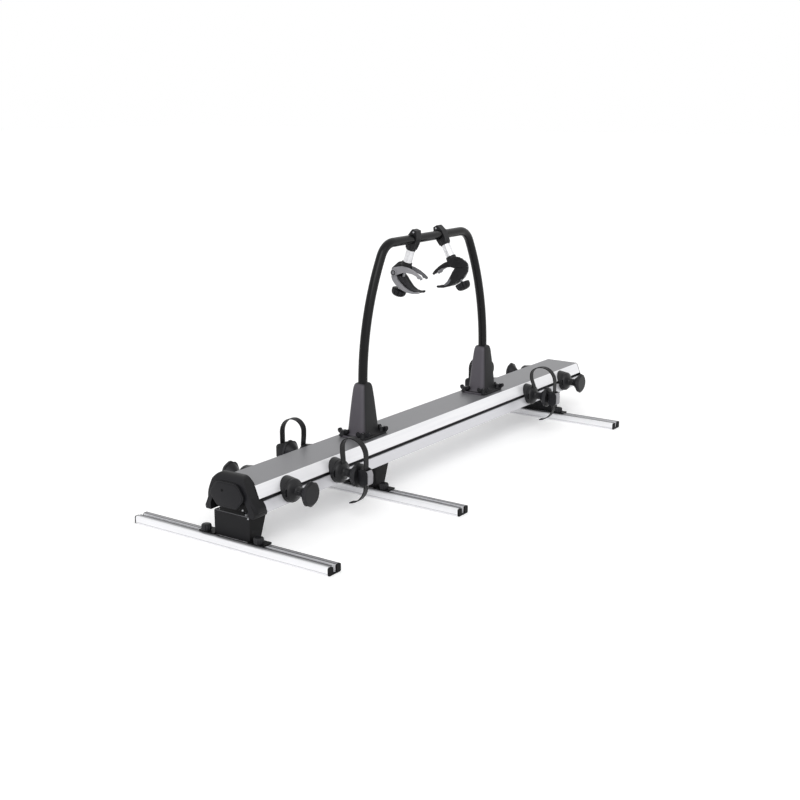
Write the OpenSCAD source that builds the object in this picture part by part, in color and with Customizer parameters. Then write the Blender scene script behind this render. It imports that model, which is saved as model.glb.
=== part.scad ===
// Slide-out carrier for two bicycles on three short floor rails
// Millimetres. X runs along the beam, Y along the rails, Z up from the floor.
// The origin is on the floor under the middle of the front rail.

/* [Floor rails] */
// Length of each floor rail
rail_len = 600; // [480:10:900]
// Width across a rail
rail_w = 44; // [42:0.5:60]
// Height of a rail
rail_h = 20; // [18:0.5:26]
// Width of each hollow lobe of a rail
rail_lobe_w = 16; // [12:0.5:16.5]
// Corner radius of a lobe
rail_round = 4; // [2:0.5:5]
// Wall of a lobe
rail_wall = 1.8; // [1.2:0.1:2.4]
// Thickness of the web between the lobes
rail_web = 3; // [2:0.5:4]
// Thickness of the lips over the rail slot
rail_lip = 2.5; // [1.5:0.1:3.5]
// Width of the rail slot
rail_slot = 8.4; // [7:0.1:9.4]
// Distance from the front rail to the middle rail
rail_pitch_front = 497; // [430:1:560]
// Distance from the middle rail to the rear rail
rail_pitch_rear = 981; // [700:1:990]
// Sideways offset of the middle rail
rail_middle_shift = -24; // [-60:1:60]
// Sideways offset of the rear rail
rail_rear_shift = 15; // [-60:1:60]
// Diameter of the floor screw holes
floor_hole_d = 6.5; // [4:0.5:7]
// Distance between the two floor screw holes of a rail
floor_hole_pitch = 500; // [300:10:520]
// Thickness of a rail end cap
rail_cap_t = 3.5; // [2:0.5:6]
// Depth of the plugs of an end cap
rail_plug = 12; // [6:1:20]

/* [Brackets] */
// Width of a bracket's front plate
bracket_w = 110; // [100:1:114]
// Height of a bracket above the rail
bracket_h = 61; // [50:1:80]
// Sheet thickness of a bracket
bracket_t = 3; // [2:0.5:4]
// Depth of a bracket at its top
bracket_deep = 60; // [50:1:80]
// Depth of a bracket's webs at the foot
bracket_foot_deep = 38; // [30:1:48]
// Length of a foot tab
foot_len = 46; // [44:1:60]
// Depth of a foot tab
foot_deep = 34; // [30:1:46]
// Distance of a rail knob from the centre line
rail_knob_y = 82; // [78:1:86]

/* [Fixed profile] */
// Length of the fixed profile
fixed_len = 1534; // [1534:1:1580]
// Width of its box
fixed_w = 96; // [88:1:100]
// Height of its box
fixed_h = 54; // [46:1:55]
// Width of its neck
fixed_neck_w = 68; // [50:1:74]
// Height of its neck above the base flange
fixed_neck_h = 7; // [6.5:0.5:10]
// Wall of the fixed profile
fixed_wall = 3; // [2:0.5:4]
// Thickness of its base flange
fixed_base_t = 4; // [3:0.5:4.4]
// Length of a glide pad
pad_len = 40; // [20:5:60]

/* [Beam] */
// Start of the beam behind the middle of the front rail
beam_start = 20; // [19:0.5:22]
// Length of the beam
beam_len = 1631; // [1600:1:1800]
// Height of the beam
beam_h = 67.4; // [66:0.1:72]
// Gap between the brackets and the beam
beam_gap = 5; // [4.5:0.1:6]
// Width of the flat top
beam_top_w = 111.4; // [108:0.2:120]
// Width at the side slot
beam_slot_w = 140.8; // [136:0.2:146]
// Width at the bottom
beam_bottom_w = 150.6; // [146:0.2:151]
// Height of the side slot above the bottom of the beam
slot_h = 32.2; // [30:0.2:34]
// Height of the mouth of the side slot
slot_mouth = 9; // [8:0.2:10]
// Height of the channel behind the mouth
slot_chan_h = 14; // [12:0.5:15]
// Depth of that channel
slot_chan_d = 9; // [7:0.5:9.5]
// Wall of the beam
beam_wall = 2.5; // [2:0.1:3]
// Width of the opening between the bottom lips
beam_lip_gap = 82; // [78:1:86]
// Thickness of the bottom lips
beam_lip = 3; // [2:0.1:3.4]
// Thickness of the trim at the rear end
tail_t = 3; // [2:0.5:6]

/* [Nose cap] */
// Distance of the cap's front face before the rail's middle
cap_front = 8; // [6:0.5:12]
// Depth of the cap at its bottom
cap_deep = 48; // [44:0.5:52]
// Depth of the cap at its crown
cap_crown_deep = 28; // [26:0.5:34]
// Height of the cap above the beam's bottom
cap_h = 90; // [86:0.5:96]
// Width of the cap across its sides
cap_w = 154; // [153:0.5:160]
// Wall of the cap
cap_wall = 3; // [2:0.5:4]
// Width of the arch at the bottom of the cap
arch_w = 116; // [104:1:122]
// Height of the arch
arch_h = 41; // [30:1:44]

/* [Release lever] */
// Width of the lever
lever_w = 112; // [100:1:120]
// Height of the lever
lever_h = 56; // [52:1:58]
// Height of its lower edge above the beam's bottom
lever_z = 18; // [16:0.5:20]
// How far the lever stands proud of the cap
lever_t = 12; // [11:0.5:15]
// Wall of the lever's shell
lever_wall = 2.5; // [2:0.1:3]
// Diameter of the lever's pin
lever_pin_d = 5; // [4:0.5:6]
// Diameter of the hole in the lever's face
lever_eye_d = 6; // [4:0.5:8]

/* [Towers] */
// Length of a tower's base plate
base_l = 108; // [100:1:116]
// Width of a tower's base plate
base_w = 84; // [78:1:96]
// Thickness of a tower's base plate
base_t = 6; // [4:0.5:9]
// Length of a tower's shell at its foot
tower_l = 72; // [66:1:76]
// Width of a tower's shell at its foot
tower_w = 56; // [50:1:60]
// Length of a tower's shell at its shoulder
tower_top_l = 47; // [42:1:56]
// Width of a tower's shell at its shoulder
tower_top_w = 38; // [34:1:46]
// Height of a tower above the beam
tower_h = 142; // [120:1:160]
// Span of a wing screw's wings
wing_span = 30; // [26:1:32]

/* [Hoop] */
// Diameter of the hoop's tube
hoop_d = 25; // [22:0.5:28]
// Wall of the hoop's tube
hoop_wall = 2; // [1.2:0.1:3]
// Distance of the front leg behind the front rail
hoop_x = 517.5; // [510:0.5:530]
// Distance between the two legs
hoop_w = 608; // [580:1:660]
// Height of the hoop's top tube above the beam
hoop_h = 496.3; // [470:0.1:560]
// Radius of the long lean of each leg
hoop_lean_r = 680; // [600:10:900]
// Radius of the top bends
hoop_bend_r = 60; // [45:1:80]

/* [Wheel chocks] */
// Places of the near chocks behind the middle of the front rail
chock_near_1 = 127.5; // [115:0.5:160]
chock_near_2 = 313; // [290:0.5:360]
chock_near_3 = 1296; // [1270:0.5:1330]
chock_near_4 = 1524; // [1480:0.5:1540]
// Places of the far chocks behind the middle of the front rail
chock_far_1 = 145; // [115:0.5:180]
chock_far_2 = 376; // [350:0.5:384]
chock_far_3 = 1320; // [1290:0.5:1350]
chock_far_4 = 1543; // [1500:0.5:1560]
// Rim diameter of a chock's cone
chock_d = 65; // [60:0.5:68]
// Distance of the cone's shoulder from the centre line
chock_shoulder = 78; // [77:0.5:82]
// Length of the cone and its neck beyond the shoulder
chock_len = 33.5; // [30:0.5:40]
// Diameter of the neck
neck_d = 22.5; // [18:0.5:26]
// Diameter of the star knob
star_d = 62; // [54:1:68]
// Length of the knob's hub
star_hub = 19; // [15:0.5:24]
// Thickness of the knob's star
star_t = 10; // [7:0.5:14]
// Diameter of the stud
stud_d = 8; // [6:0.5:8]

/* [Wheel straps] */
// Width of a strap
strap_w = 17.5; // [14:0.5:20]
// Thickness of a strap
strap_t = 2.6; // [2:0.1:3.5]
// Distance of the inner limb from the centre line
strap_in = 90; // [89:0.5:92]
// Distance between the two limbs
strap_span = 70; // [69:0.5:76]
// Height of the arch above the stud
strap_rise = 92; // [80:1:110]
// Radius of the hanging tail
tail_r = 53; // [44:1:54]
// Width of a buckle
buckle_w = 27; // [24:0.5:34]
// Depth of a buckle
buckle_d = 24; // [22:0.5:28]
// Height of a buckle
buckle_h = 44; // [38:0.5:50]

/* [Frame clamps] */
// Place of the left clamp behind the front rail
clamp_left_x = 755; // [740:1:790]
// Place of the right clamp behind the front rail
clamp_right_x = 890; // [870:1:900]
// Lean of the left arm
clamp_left_lean = 18.6; // [15:0.1:25]
// Lean of the right arm
clamp_right_lean = 28.6; // [20:0.1:35]
// Length of a collar along the hoop
collar_l = 24; // [20:1:32]
// Width across a collar
collar_w = 34; // [33:0.5:40]
// Height of a collar above and below the hoop
collar_h = 26; // [24:0.5:30]
// Diameter of an arm
arm_d = 24; // [20:0.5:26]
// Distance from the hoop to the jaw's pivot along the arm
arm_reach = 107; // [100:1:130]
// Angle between the jaws and the arm
jaw_tilt = 18.6; // [15:0.1:22]
// Distance of the jaw's pivot beside the arm
jaw_offset = 22; // [21:0.5:26]
// Width of the jaws
jaw_w = 34; // [30:0.5:40]
// Thickness of a jaw's side
jaw_side = 7.5; // [6:0.5:9]
// Diameter of the jaw's pivot boss
pivot_d = 19; // [17:0.5:22]
// Diameter of the jaw's pin
jaw_pin_d = 6; // [5:0.5:7]
// Diameter of the clamp screw
screw_d = 8; // [6:0.5:9]
// Diameter of the clamp knob
grip_d = 40; // [32:1:46]
// Height of the clamp knob
grip_h = 17; // [13:0.5:22]

/* [Fits] */
// Gap between pieces that move past each other
clear = 0.3; // [0.25:0.05:0.4]
// Radial gap of a running fit
fit = 0.06; // [0.03:0.01:0.09]

/* [Hidden] */
$fn = 48;
eps = 0.01;

bracket_top = rail_h + bracket_h;
beam_z = bracket_top + beam_gap;
beam_top = beam_z + beam_h;
beam_end = beam_start + beam_len;
slot_z = beam_z + slot_h;
rail_x = [0, rail_pitch_front, rail_pitch_front + rail_pitch_rear];
rail_shift = [0, rail_middle_shift, rail_rear_shift];
rail_core = rail_w - 2 * rail_lobe_w;

// Half width of the beam's outside at a height above its bottom
function beam_half(h) = h < slot_h
    ? beam_bottom_w / 2 + (beam_slot_w - beam_bottom_w) / 2 * h / slot_h
    : beam_slot_w / 2 + (beam_top_w - beam_slot_w) / 2 * (h - slot_h) / (beam_h - slot_h);
chan_out = beam_half(slot_h + slot_chan_h / 2) - beam_wall;
chan_in = chan_out - slot_chan_d;
bay_half = chan_in - beam_wall;

fixed_front = 4;
fixed_end = fixed_front + fixed_len;
fixed_box_z = bracket_top + fixed_base_t + fixed_neck_h;
fixed_top = fixed_box_z + fixed_h;
pad_at = [fixed_front + 30, fixed_front + fixed_len / 2, fixed_end - pad_len - 20];

hoop_top = beam_top + hoop_h;
hoop_r = hoop_d / 2;
lean_from = beam_top + tower_h - 5;
lean_angle = asin((hoop_top - lean_from - hoop_bend_r) / (hoop_lean_r - hoop_bend_r));
hoop_mid = hoop_x + hoop_w / 2;
tower_x = [hoop_x, hoop_x + hoop_w];

stud_r = stud_d / 2;
neck_r = neck_d / 2;
neck_end = chock_shoulder + chock_len;
star_start = neck_end + clear;
star_back = star_start + star_hub;
star_face = star_back + star_t;
buckle_in = star_face + clear;
strap_out = strap_in + strap_span;
strap_r_in = 0.4 * strap_span;
strap_r_out = strap_span - strap_r_in;
tail_top = slot_z - buckle_h / 2;
near = [chock_near_1, chock_near_2, chock_near_3, chock_near_4];
far = [chock_far_1, chock_far_2, chock_far_3, chock_far_4];

// Colours
silver = [0.85, 0.85, 0.87];
anodised = [0.56, 0.56, 0.58];
black = [0.16, 0.16, 0.17];
charcoal = [0.22, 0.22, 0.24];
steel = [0.62, 0.63, 0.65];
grey = [0.45, 0.45, 0.47];

// Outline helpers
function unit(v) = v / norm(v);
function turn_to(a) = a > 180 ? a - 360 : (a < -180 ? a + 360 : a);
function corner(a, p, b, r, n) = r <= 0 ? [p] :
    let (u = unit(a - p), v = unit(b - p), half = acos(u * v) / 2,
        c = p + unit(u + v) * r / sin(half), s = p + u * r / tan(half) - c,
        e = p + v * r / tan(half) - c, a0 = atan2(s[1], s[0]),
        da = turn_to(atan2(e[1], e[0]) - a0))
    [for (i = [0:n]) c + r * [cos(a0 + da * i / n), sin(a0 + da * i / n)]];
// Closed outline with corner i rounded to the radius in its third number
function rounded(p, n = 6) = let (k = len(p))
    [for (i = [0:k - 1]) each corner([p[(i + k - 1) % k][0], p[(i + k - 1) % k][1]],
        [p[i][0], p[i][1]], [p[(i + 1) % k][0], p[(i + 1) % k][1]], p[i][2], n)];
// Outline that repeats its right half on the left
function both_sides(p) = concat(p, [for (i = [len(p) - 1:-1:0]) [-p[i][0], p[i][1], p[i][2]]]);
function arc(c, r, a0, a1, n) = [for (i = [0:n]) c + r * [cos(a0 + (a1 - a0) * i / n),
    sin(a0 + (a1 - a0) * i / n)]];
// Band of one thickness along an open path
function side_of(p, i) = let (a = p[max(i - 1, 0)], b = p[min(i + 1, len(p) - 1)], u = unit(b - a))
    [-u[1], u[0]];
function band(p, t) = concat([for (i = [0:len(p) - 1]) p[i] + side_of(p, i) * t / 2],
    [for (i = [len(p) - 1:-1:0]) p[i] - side_of(p, i) * t / 2]);
function box_outline(w, h, r) = [[-w / 2, -h / 2, r], [w / 2, -h / 2, r], [w / 2, h / 2, r], [-w / 2, h / 2, r]];

module rounded_box(w, h, r) { polygon(rounded(box_outline(w, h, r), 5)); }
// Outline in Y and Z drawn out along X, in X and Z along Y, and in X and Y along Z
module along_x(a, b) { translate([a, 0, 0]) rotate([90, 0, 90]) linear_extrude(b - a) children(); }
module along_y(a, b) { translate([0, b, 0]) rotate([90, 0, 0]) linear_extrude(b - a) children(); }
module along_z(a, b) { translate([0, 0, a]) linear_extrude(b - a) children(); }
module rod_x(a, b, r) { translate([a, 0, 0]) rotate([0, 90, 0]) cylinder(h = b - a, r = r); }
module rod_y(a, b, r) { translate([0, a, 0]) rotate([-90, 0, 0]) cylinder(h = b - a, r = r); }
// Near side pieces point towards -Y, and far side pieces are their mirror image
module on_side(far_side) {
    if (far_side) mirror([0, 1, 0]) children();
    else children();
}

// Floor rails
module rail_section() {
    lobe_x = (rail_w - rail_lobe_w) / 2;
    difference() {
        union() {
            for (s = [-1, 1]) translate([s * lobe_x, rail_h / 2]) rounded_box(rail_lobe_w, rail_h, rail_round);
            translate([-lobe_x, 0]) square([2 * lobe_x, rail_web]);
            for (x = [-lobe_x, rail_slot / 2])
                translate([x, rail_h - rail_lip]) square([lobe_x - rail_slot / 2, rail_lip]);
        }
        for (s = [-1, 1]) translate([s * lobe_x, rail_h / 2])
            rounded_box(rail_lobe_w - 2 * rail_wall, rail_h - 2 * rail_wall, rail_round - rail_wall / 2);
    }
}
module rail(i) {
    color(silver) difference() {
        translate([rail_x[i], rail_shift[i], 0]) along_y(-rail_len / 2, rail_len / 2) rail_section();
        for (s = [-1, 1]) translate([rail_x[i], rail_shift[i] + s * floor_hole_pitch / 2, 0]) {
            translate([0, 0, -1]) cylinder(h = rail_web + 2, d = floor_hole_d);
            translate([0, 0, rail_web / 2]) cylinder(h = rail_web / 2 + eps, d1 = floor_hole_d, d2 = floor_hole_d + rail_web);
        }
    }
}
module rail_end_cap() {
    lobe_x = (rail_w - rail_lobe_w) / 2;
    along_y(0, rail_cap_t) {
        for (s = [-1, 1]) translate([s * lobe_x, rail_h / 2]) rounded_box(rail_lobe_w, rail_h, rail_round);
        translate([-lobe_x, 0]) square([2 * lobe_x, rail_web]);
    }
    plug_w = rail_lobe_w - 2 * rail_wall - 2 * fit;
    plug_h = rail_h - 2 * rail_wall - 2 * fit;
    for (s = [-1, 1]) translate([s * lobe_x, 0, rail_h / 2]) along_y(-rail_plug, eps)
        rounded_box(plug_w, plug_h, rail_round - rail_wall / 2);
}
module rail_end_caps() {
    color(black) for (i = [0:2]) translate([rail_x[i], rail_shift[i], 0]) {
        translate([0, rail_len / 2, 0]) rail_end_cap();
        mirror([0, 1, 0]) translate([0, rail_len / 2, 0]) rail_end_cap();
    }
}

// Folded brackets
bracket_bolt_x = [0.3 * bracket_deep, 0.75 * bracket_deep];
bracket_bolt_y = fixed_neck_w / 4;
bolt_r = 4;
module bracket(i) {
    web = [[0, 0], [bracket_foot_deep, 0], [bracket_deep, bracket_h], [0, bracket_h]];
    foot_from = bracket_w / 2 - bracket_t;
    color(charcoal) translate([rail_x[i], 0, rail_h]) difference() {
        union() {
            along_y(-bracket_w / 2, bracket_w / 2) difference() {
                polygon(rounded([[0, 0, 0], [bracket_t, 0, 0], [bracket_t, bracket_h - bracket_t, 1],
                    [bracket_deep, bracket_h - bracket_t, 0], [bracket_deep, bracket_h, 0], [0, bracket_h, bracket_t]], 5));
            }
            for (s = [-1, 1]) mirror([0, s > 0 ? 0 : 1, 0]) {
                along_y(bracket_w / 2 - bracket_t, bracket_w / 2)
                    polygon(rounded([[0, 0, 0], [bracket_foot_deep, 0, 2], [bracket_deep, bracket_h, 2], [0, bracket_h, bracket_t]], 5));
                translate([0, foot_from, 0]) along_z(0, bracket_t) translate([0, (foot_len + bracket_t) / 2])
                    translate([foot_deep / 4, 0]) rounded_box(foot_deep, foot_len + bracket_t, 4);
            }
        }
        for (s = [-1, 1]) translate([0, s * rail_knob_y, -1]) cylinder(h = bracket_t + 2, r = stud_r + 0.5);
        for (x = bracket_bolt_x, s = [-1, 1]) translate([x, s * bracket_bolt_y, bracket_h - bracket_t - 1])
            cylinder(h = bracket_t + 2, r = bolt_r + fit);
    }
}
module bracket_bolt() {
    head = 5;
    under = bracket_t + 6;
    translate([0, 0, fixed_base_t]) cylinder(h = head, r = 6.5, $fn = 6);
    translate([0, 0, -under]) cylinder(h = under + fixed_base_t + eps, r = bolt_r);
    translate([0, 0, -bracket_t - 5]) cylinder(h = 5, r = 6.5, $fn = 6);
}
module bracket_bolts() {
    color(steel) for (i = [0:2], x = bracket_bolt_x, s = [-1, 1])
        translate([rail_x[i] + x, s * bracket_bolt_y, bracket_top]) bracket_bolt();
}

// T-bolts that hold the bracket feet to the rails
module rail_bolts() {
    head_w = rail_core - 2 * clear;
    head_t = 4;
    head_z = rail_h - rail_lip - clear - head_t;
    color(steel) for (i = [0:2], s = [-1, 1]) translate([rail_x[i], s * rail_knob_y, 0]) {
        along_z(head_z, head_z + head_t) square([head_w, 18], center = true);
        translate([0, 0, head_z]) cylinder(h = rail_h + bracket_t + 16 - head_z, r = stud_r - 1);
    }
}
module rail_knob(i, s) {
    z0 = rail_h + bracket_t + clear;
    lobes = 6;
    color(black) translate([rail_x[i], s * rail_knob_y, z0]) difference() {
        union() {
            cylinder(h = 4, r = 15);
            cylinder(h = 8, r = 10);
            translate([0, 0, 6]) intersection() {
                along_z(0, 16) difference() {
                    circle(r = 17);
                    for (k = [0:lobes - 1]) rotate(k * 360 / lobes) translate([20, 0]) circle(r = 6);
                }
                rotate_extrude() polygon(rounded([[0, 0, 0], [17, 0, 2], [17, 16, 4], [0, 16, 0]], 4));
            }
        }
        translate([0, 0, -1]) cylinder(h = 18, r = stud_r - 1 + fit);
    }
}

// Fixed profile and the pads that the beam runs on
module fixed_section() {
    flange_w = fixed_neck_w + 16;
    difference() {
        union() {
            translate([-flange_w / 2, bracket_top]) square([flange_w, fixed_base_t]);
            translate([-fixed_neck_w / 2, bracket_top]) square([fixed_neck_w, fixed_base_t + fixed_neck_h + fixed_wall]);
            translate([0, fixed_box_z + fixed_h / 2]) rounded_box(fixed_w, fixed_h, 4);
        }
        translate([-fixed_neck_w / 2 + fixed_wall, bracket_top + fixed_base_t])
            square([fixed_neck_w - 2 * fixed_wall, fixed_neck_h + fixed_wall + 5]);
        translate([0, fixed_box_z + fixed_h / 2]) rounded_box(fixed_w - 2 * fixed_wall, fixed_h - 2 * fixed_wall, 2);
    }
}
catch_x = fixed_front + 8;
catch_l = 8;
catch_w = 18;
module fixed_profile() {
    color(steel) difference() {
        along_x(fixed_front, fixed_end) fixed_section();
        for (i = [0:2], x = bracket_bolt_x, s = [-1, 1]) translate([rail_x[i] + x, s * bracket_bolt_y, bracket_top - 1])
            cylinder(h = fixed_base_t + 2, r = bolt_r + fit);
    }
}
module glide_pads() {
    top_z = beam_top - beam_wall - clear;
    lip_z = beam_z + beam_lip + clear;
    color(black) for (x = pad_at, s = [-1, 1]) mirror([0, s > 0 ? 0 : 1, 0]) translate([x, 0, 0]) {
        translate([0, 0.05 * fixed_w, fixed_top]) cube([pad_len, 0.15 * fixed_w, top_z - fixed_top]);
        translate([0, fixed_w / 2, slot_z - slot_chan_h / 2]) cube([pad_len, bay_half - clear - fixed_w / 2, slot_chan_h]);
        translate([0, beam_lip_gap / 2 + 1, lip_z]) cube([pad_len, fixed_w / 2 - beam_lip_gap / 2 - 3, fixed_box_z - lip_z]);
    }
}

// Moving beam
function beam_outline(g) = both_sides([[beam_bottom_w / 2 + g, beam_z - g, 1.5], [beam_slot_w / 2 + g, slot_z, 0],
    [beam_top_w / 2 + g, beam_top + g, 4]]);
module beam_section() {
    w = beam_wall;
    difference() {
        polygon(rounded(beam_outline(0), 5));
        difference() {
            polygon(rounded(both_sides([[beam_half(beam_lip) - 1.05 * w, beam_z + beam_lip, 0],
                [beam_slot_w / 2 - 1.1 * w, slot_z, 0], [beam_half(beam_h - w) - 1.1 * w, beam_top - w, 2]])));
            for (s = [-1, 1]) mirror([s > 0 ? 0 : 1, 0]) translate([bay_half, slot_z - slot_chan_h / 2 - w])
                square([beam_slot_w, slot_chan_h + 2 * w]);
        }
        for (s = [-1, 1]) mirror([s > 0 ? 0 : 1, 0]) {
            translate([chan_in, slot_z - slot_chan_h / 2]) square([slot_chan_d, slot_chan_h]);
            translate([chan_in, slot_z - slot_mouth / 2]) square([beam_slot_w, slot_mouth]);
        }
        translate([-beam_lip_gap / 2, beam_z - 1]) square([beam_lip_gap, beam_lip + 2]);
    }
}
module base_corners(i) {
    for (sx = [-1, 1], sy = [-1, 1]) translate([tower_x[i] + sx * (base_l / 2 - 10), sy * (base_w / 2 - 10), 0]) children();
}
wing_bolt_r = 3;
module beam_profile() {
    color(anodised) difference() {
        along_x(beam_start, beam_end) beam_section();
        for (i = [0, 1]) base_corners(i) translate([0, 0, beam_top - beam_wall - 1])
            cylinder(h = beam_wall + 2, r = wing_bolt_r + fit);
    }
}
module tail_trim() {
    color(black) along_x(beam_end, beam_end + tail_t) difference() {
        polygon(rounded(beam_outline(0), 5));
        translate([-bay_half, beam_z + beam_lip]) square([2 * bay_half, beam_h - beam_lip - beam_wall]);
        translate([-beam_lip_gap / 2, beam_z - 1]) square([beam_lip_gap, beam_lip + 2]);
    }
}

// Nose cap, a hollow dome that closes the front end of the beam
function cap_outline(g) = both_sides([[cap_w / 2 - g, beam_z + 1, 8], [cap_w / 2 - g, beam_z + 17, 22],
    [0.325 * cap_w - g, beam_z + cap_h - 14 - g, 18], [0.245 * cap_w, beam_z + cap_h - g, 18]]);
cap_back = cap_deep - cap_front;
cap_crown_back = cap_crown_deep - cap_front;
module cap_form(g) {
    intersection() {
        along_x(-cap_front + g, cap_back) polygon(rounded(cap_outline(g), 10));
        along_y(-cap_w, cap_w) polygon(rounded([[-cap_front + g, beam_z - 10, 0], [cap_back - g, beam_z - 10, 0],
            [cap_crown_back - g, beam_z + cap_h, 0], [-cap_front + g, beam_z + cap_h - g, 22 - g]], 8));
        along_z(beam_z - 20, beam_z + 2 * cap_h) polygon(rounded([[-cap_front + g, -cap_w / 2 + g, 20 - g],
            [cap_back + 1, -cap_w / 2 + g, 0], [cap_back + 1, cap_w / 2 - g, 0], [-cap_front + g, cap_w / 2 - g, 20 - g]], 8));
    }
}
lever_top = beam_z + lever_z + lever_h;
lever_back = -cap_front - 2 * clear;
lever_front = -cap_front - lever_t;
pin_x = -cap_front - 0.42 * lever_t;
pin_z = lever_top - 7;
pin_r = lever_pin_d / 2;
ear_in = 22;
ear_t = 6;
lug_r = min(lever_t / 2 - 1.6, pin_r + 1.8);
module nose_cap() {
    color(charcoal) difference() {
        union() {
            difference() {
                cap_form(0);
                difference() {
                    cap_form(cap_wall);
                    translate([cap_crown_back - 2 * cap_wall, -cap_w, beam_top + 2]) cube([cap_deep, 2 * cap_w, cap_h]);
                }
                translate([-cap_front + cap_wall, -0.41 * cap_w, beam_z - 20]) cube([cap_deep, 0.82 * cap_w, 25]);
            }
            for (s = [-1, 1]) mirror([0, s > 0 ? 0 : 1, 0]) along_y(ear_in, ear_in + ear_t) {
                translate([pin_x, pin_z]) circle(r = lug_r);
                translate([pin_x, pin_z - lug_r]) square([1 - cap_front - pin_x, 2 * lug_r]);
            }
        }
        along_x(beam_start - clear / 3, beam_end) polygon(rounded(beam_outline(clear / 3), 5));
        along_x(-cap_front - 1, -cap_front + cap_wall + 5) {
            polygon(rounded(both_sides([[arch_w / 2, beam_z - 9, 0], [arch_w / 2, beam_z + 0.35 * arch_h, 14],
                [arch_w / 2 - 14, beam_z + arch_h, 12]]), 6));
            translate([-catch_w / 2, beam_z + arch_h - 5]) square([catch_w, fixed_top - beam_z - arch_h + 5]);
        }
        translate([pin_x, 0, pin_z]) rod_y(-ear_in - ear_t - 1, ear_in + ear_t + 1, pin_r + fit);
    }
}

// Release lever, a hollow shield on a pin, with a hook behind it
function lever_outline(g) = both_sides([[0.26 * lever_w - g / 2, beam_z + lever_z + g, 14],
    [lever_w / 2 - g, beam_z + lever_z + 0.42 * lever_h, 9], [0.40 * lever_w - g / 2, lever_top - g, 16]]);
module lever_form(g) {
    intersection() {
        along_x(lever_front + g, lever_back + (g > 0 ? 1 : 0)) polygon(rounded(lever_outline(g), 8));
        along_y(-lever_w, lever_w) polygon(rounded([[lever_front + g, beam_z + lever_z + g, 4], [0, beam_z + lever_z + g, 0],
            [0, lever_top - 17 - (g > 0 ? 1 : 0), 0], [lever_back - 4, lever_top - g, 0],
            [lever_front + g, lever_top - g, 4]], 6));
    }
}
module release_lever() {
    hook_z = fixed_top - fixed_wall - clear - 3;
    hook_t = 5;
    hook_w = catch_w - 4;
    boss_w = 2 * (ear_in - clear);
    color(charcoal) difference() {
        union() {
            difference() {
                lever_form(0);
                lever_form(lever_wall);
            }
            intersection() {
                lever_form(0);
                translate([pin_x, 0, pin_z]) rod_y(-boss_w / 2, boss_w / 2, lug_r);
            }
            intersection() {
                lever_form(0);
                translate([lever_front, -hook_w / 2, hook_z - hook_t]) cube([lever_t, hook_w, hook_t]);
            }
            translate([lever_back - 2, -hook_w / 2, hook_z - hook_t]) cube([catch_x + catch_l - lever_back + 2, hook_w, hook_t]);
            translate([catch_x, -hook_w / 2, hook_z - 1]) cube([catch_l, hook_w, 4]);
        }
        translate([pin_x, 0, pin_z]) rod_y(-boss_w, boss_w, pin_r + fit);
        for (s = [-1, 1]) translate([pin_x - 2, s * (ear_in + ear_t / 2), pin_z - lug_r - clear])
            translate([0, -ear_t / 2 - clear, 0]) cube([lever_t, ear_t + 2 * clear, lever_h]);
        translate([lever_front - 1, 0.09 * lever_w, beam_z + lever_z + 0.66 * lever_h]) rod_x(0, lever_wall + 3, lever_eye_d / 2);
    }
}
module lever_pin() {
    color(steel) translate([pin_x, 0, pin_z]) rod_y(-ear_in - ear_t, ear_in + ear_t, pin_r);
}

// Towers, hoop and the screws that hold them
module tower(i) {
    shoulder = 16;
    color(charcoal) translate([tower_x[i], 0, beam_top]) difference() {
        union() {
            along_z(0, base_t) rounded_box(base_l, base_w, 9);
            hull() {
                along_z(base_t - 1, base_t + 4) rounded_box(tower_l, tower_w, 15);
                along_z(tower_h - shoulder - 1, tower_h - shoulder) rounded_box(tower_top_l, tower_top_w, 13);
                along_z(tower_h - shoulder / 2 - 1, tower_h - shoulder / 2)
                    rounded_box(tower_top_l - 4, tower_top_w - 3, 12);
                along_z(tower_h - 1, tower_h) rounded_box(tower_top_l - 16, tower_top_w - 9, 9);
            }
            hull() {
                along_z(base_t - 1, base_t) rounded_box(min(tower_l + 18, base_l - 2), min(tower_w + 14, base_w - 2), 16);
                along_z(base_t + 11, base_t + 12) rounded_box(tower_l - 3, tower_w - 2, 15);
            }
        }
        translate([0, 0, 12]) cylinder(h = tower_h, r = hoop_r);
        translate([0, 0, tower_h - 30]) along_z(0, 31) square([tower_top_l - 8, 3], center = true);
        for (sx = [-1, 1], sy = [-1, 1]) translate([sx * (base_l / 2 - 10), sy * (base_w / 2 - 10), 0]) {
            translate([0, 0, -1]) cylinder(h = base_t + 2, r = wing_bolt_r + fit);
            translate([0, 0, base_t]) cylinder(h = 30, r = wing_span / 2 + 1);
        }
    }
}
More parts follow.
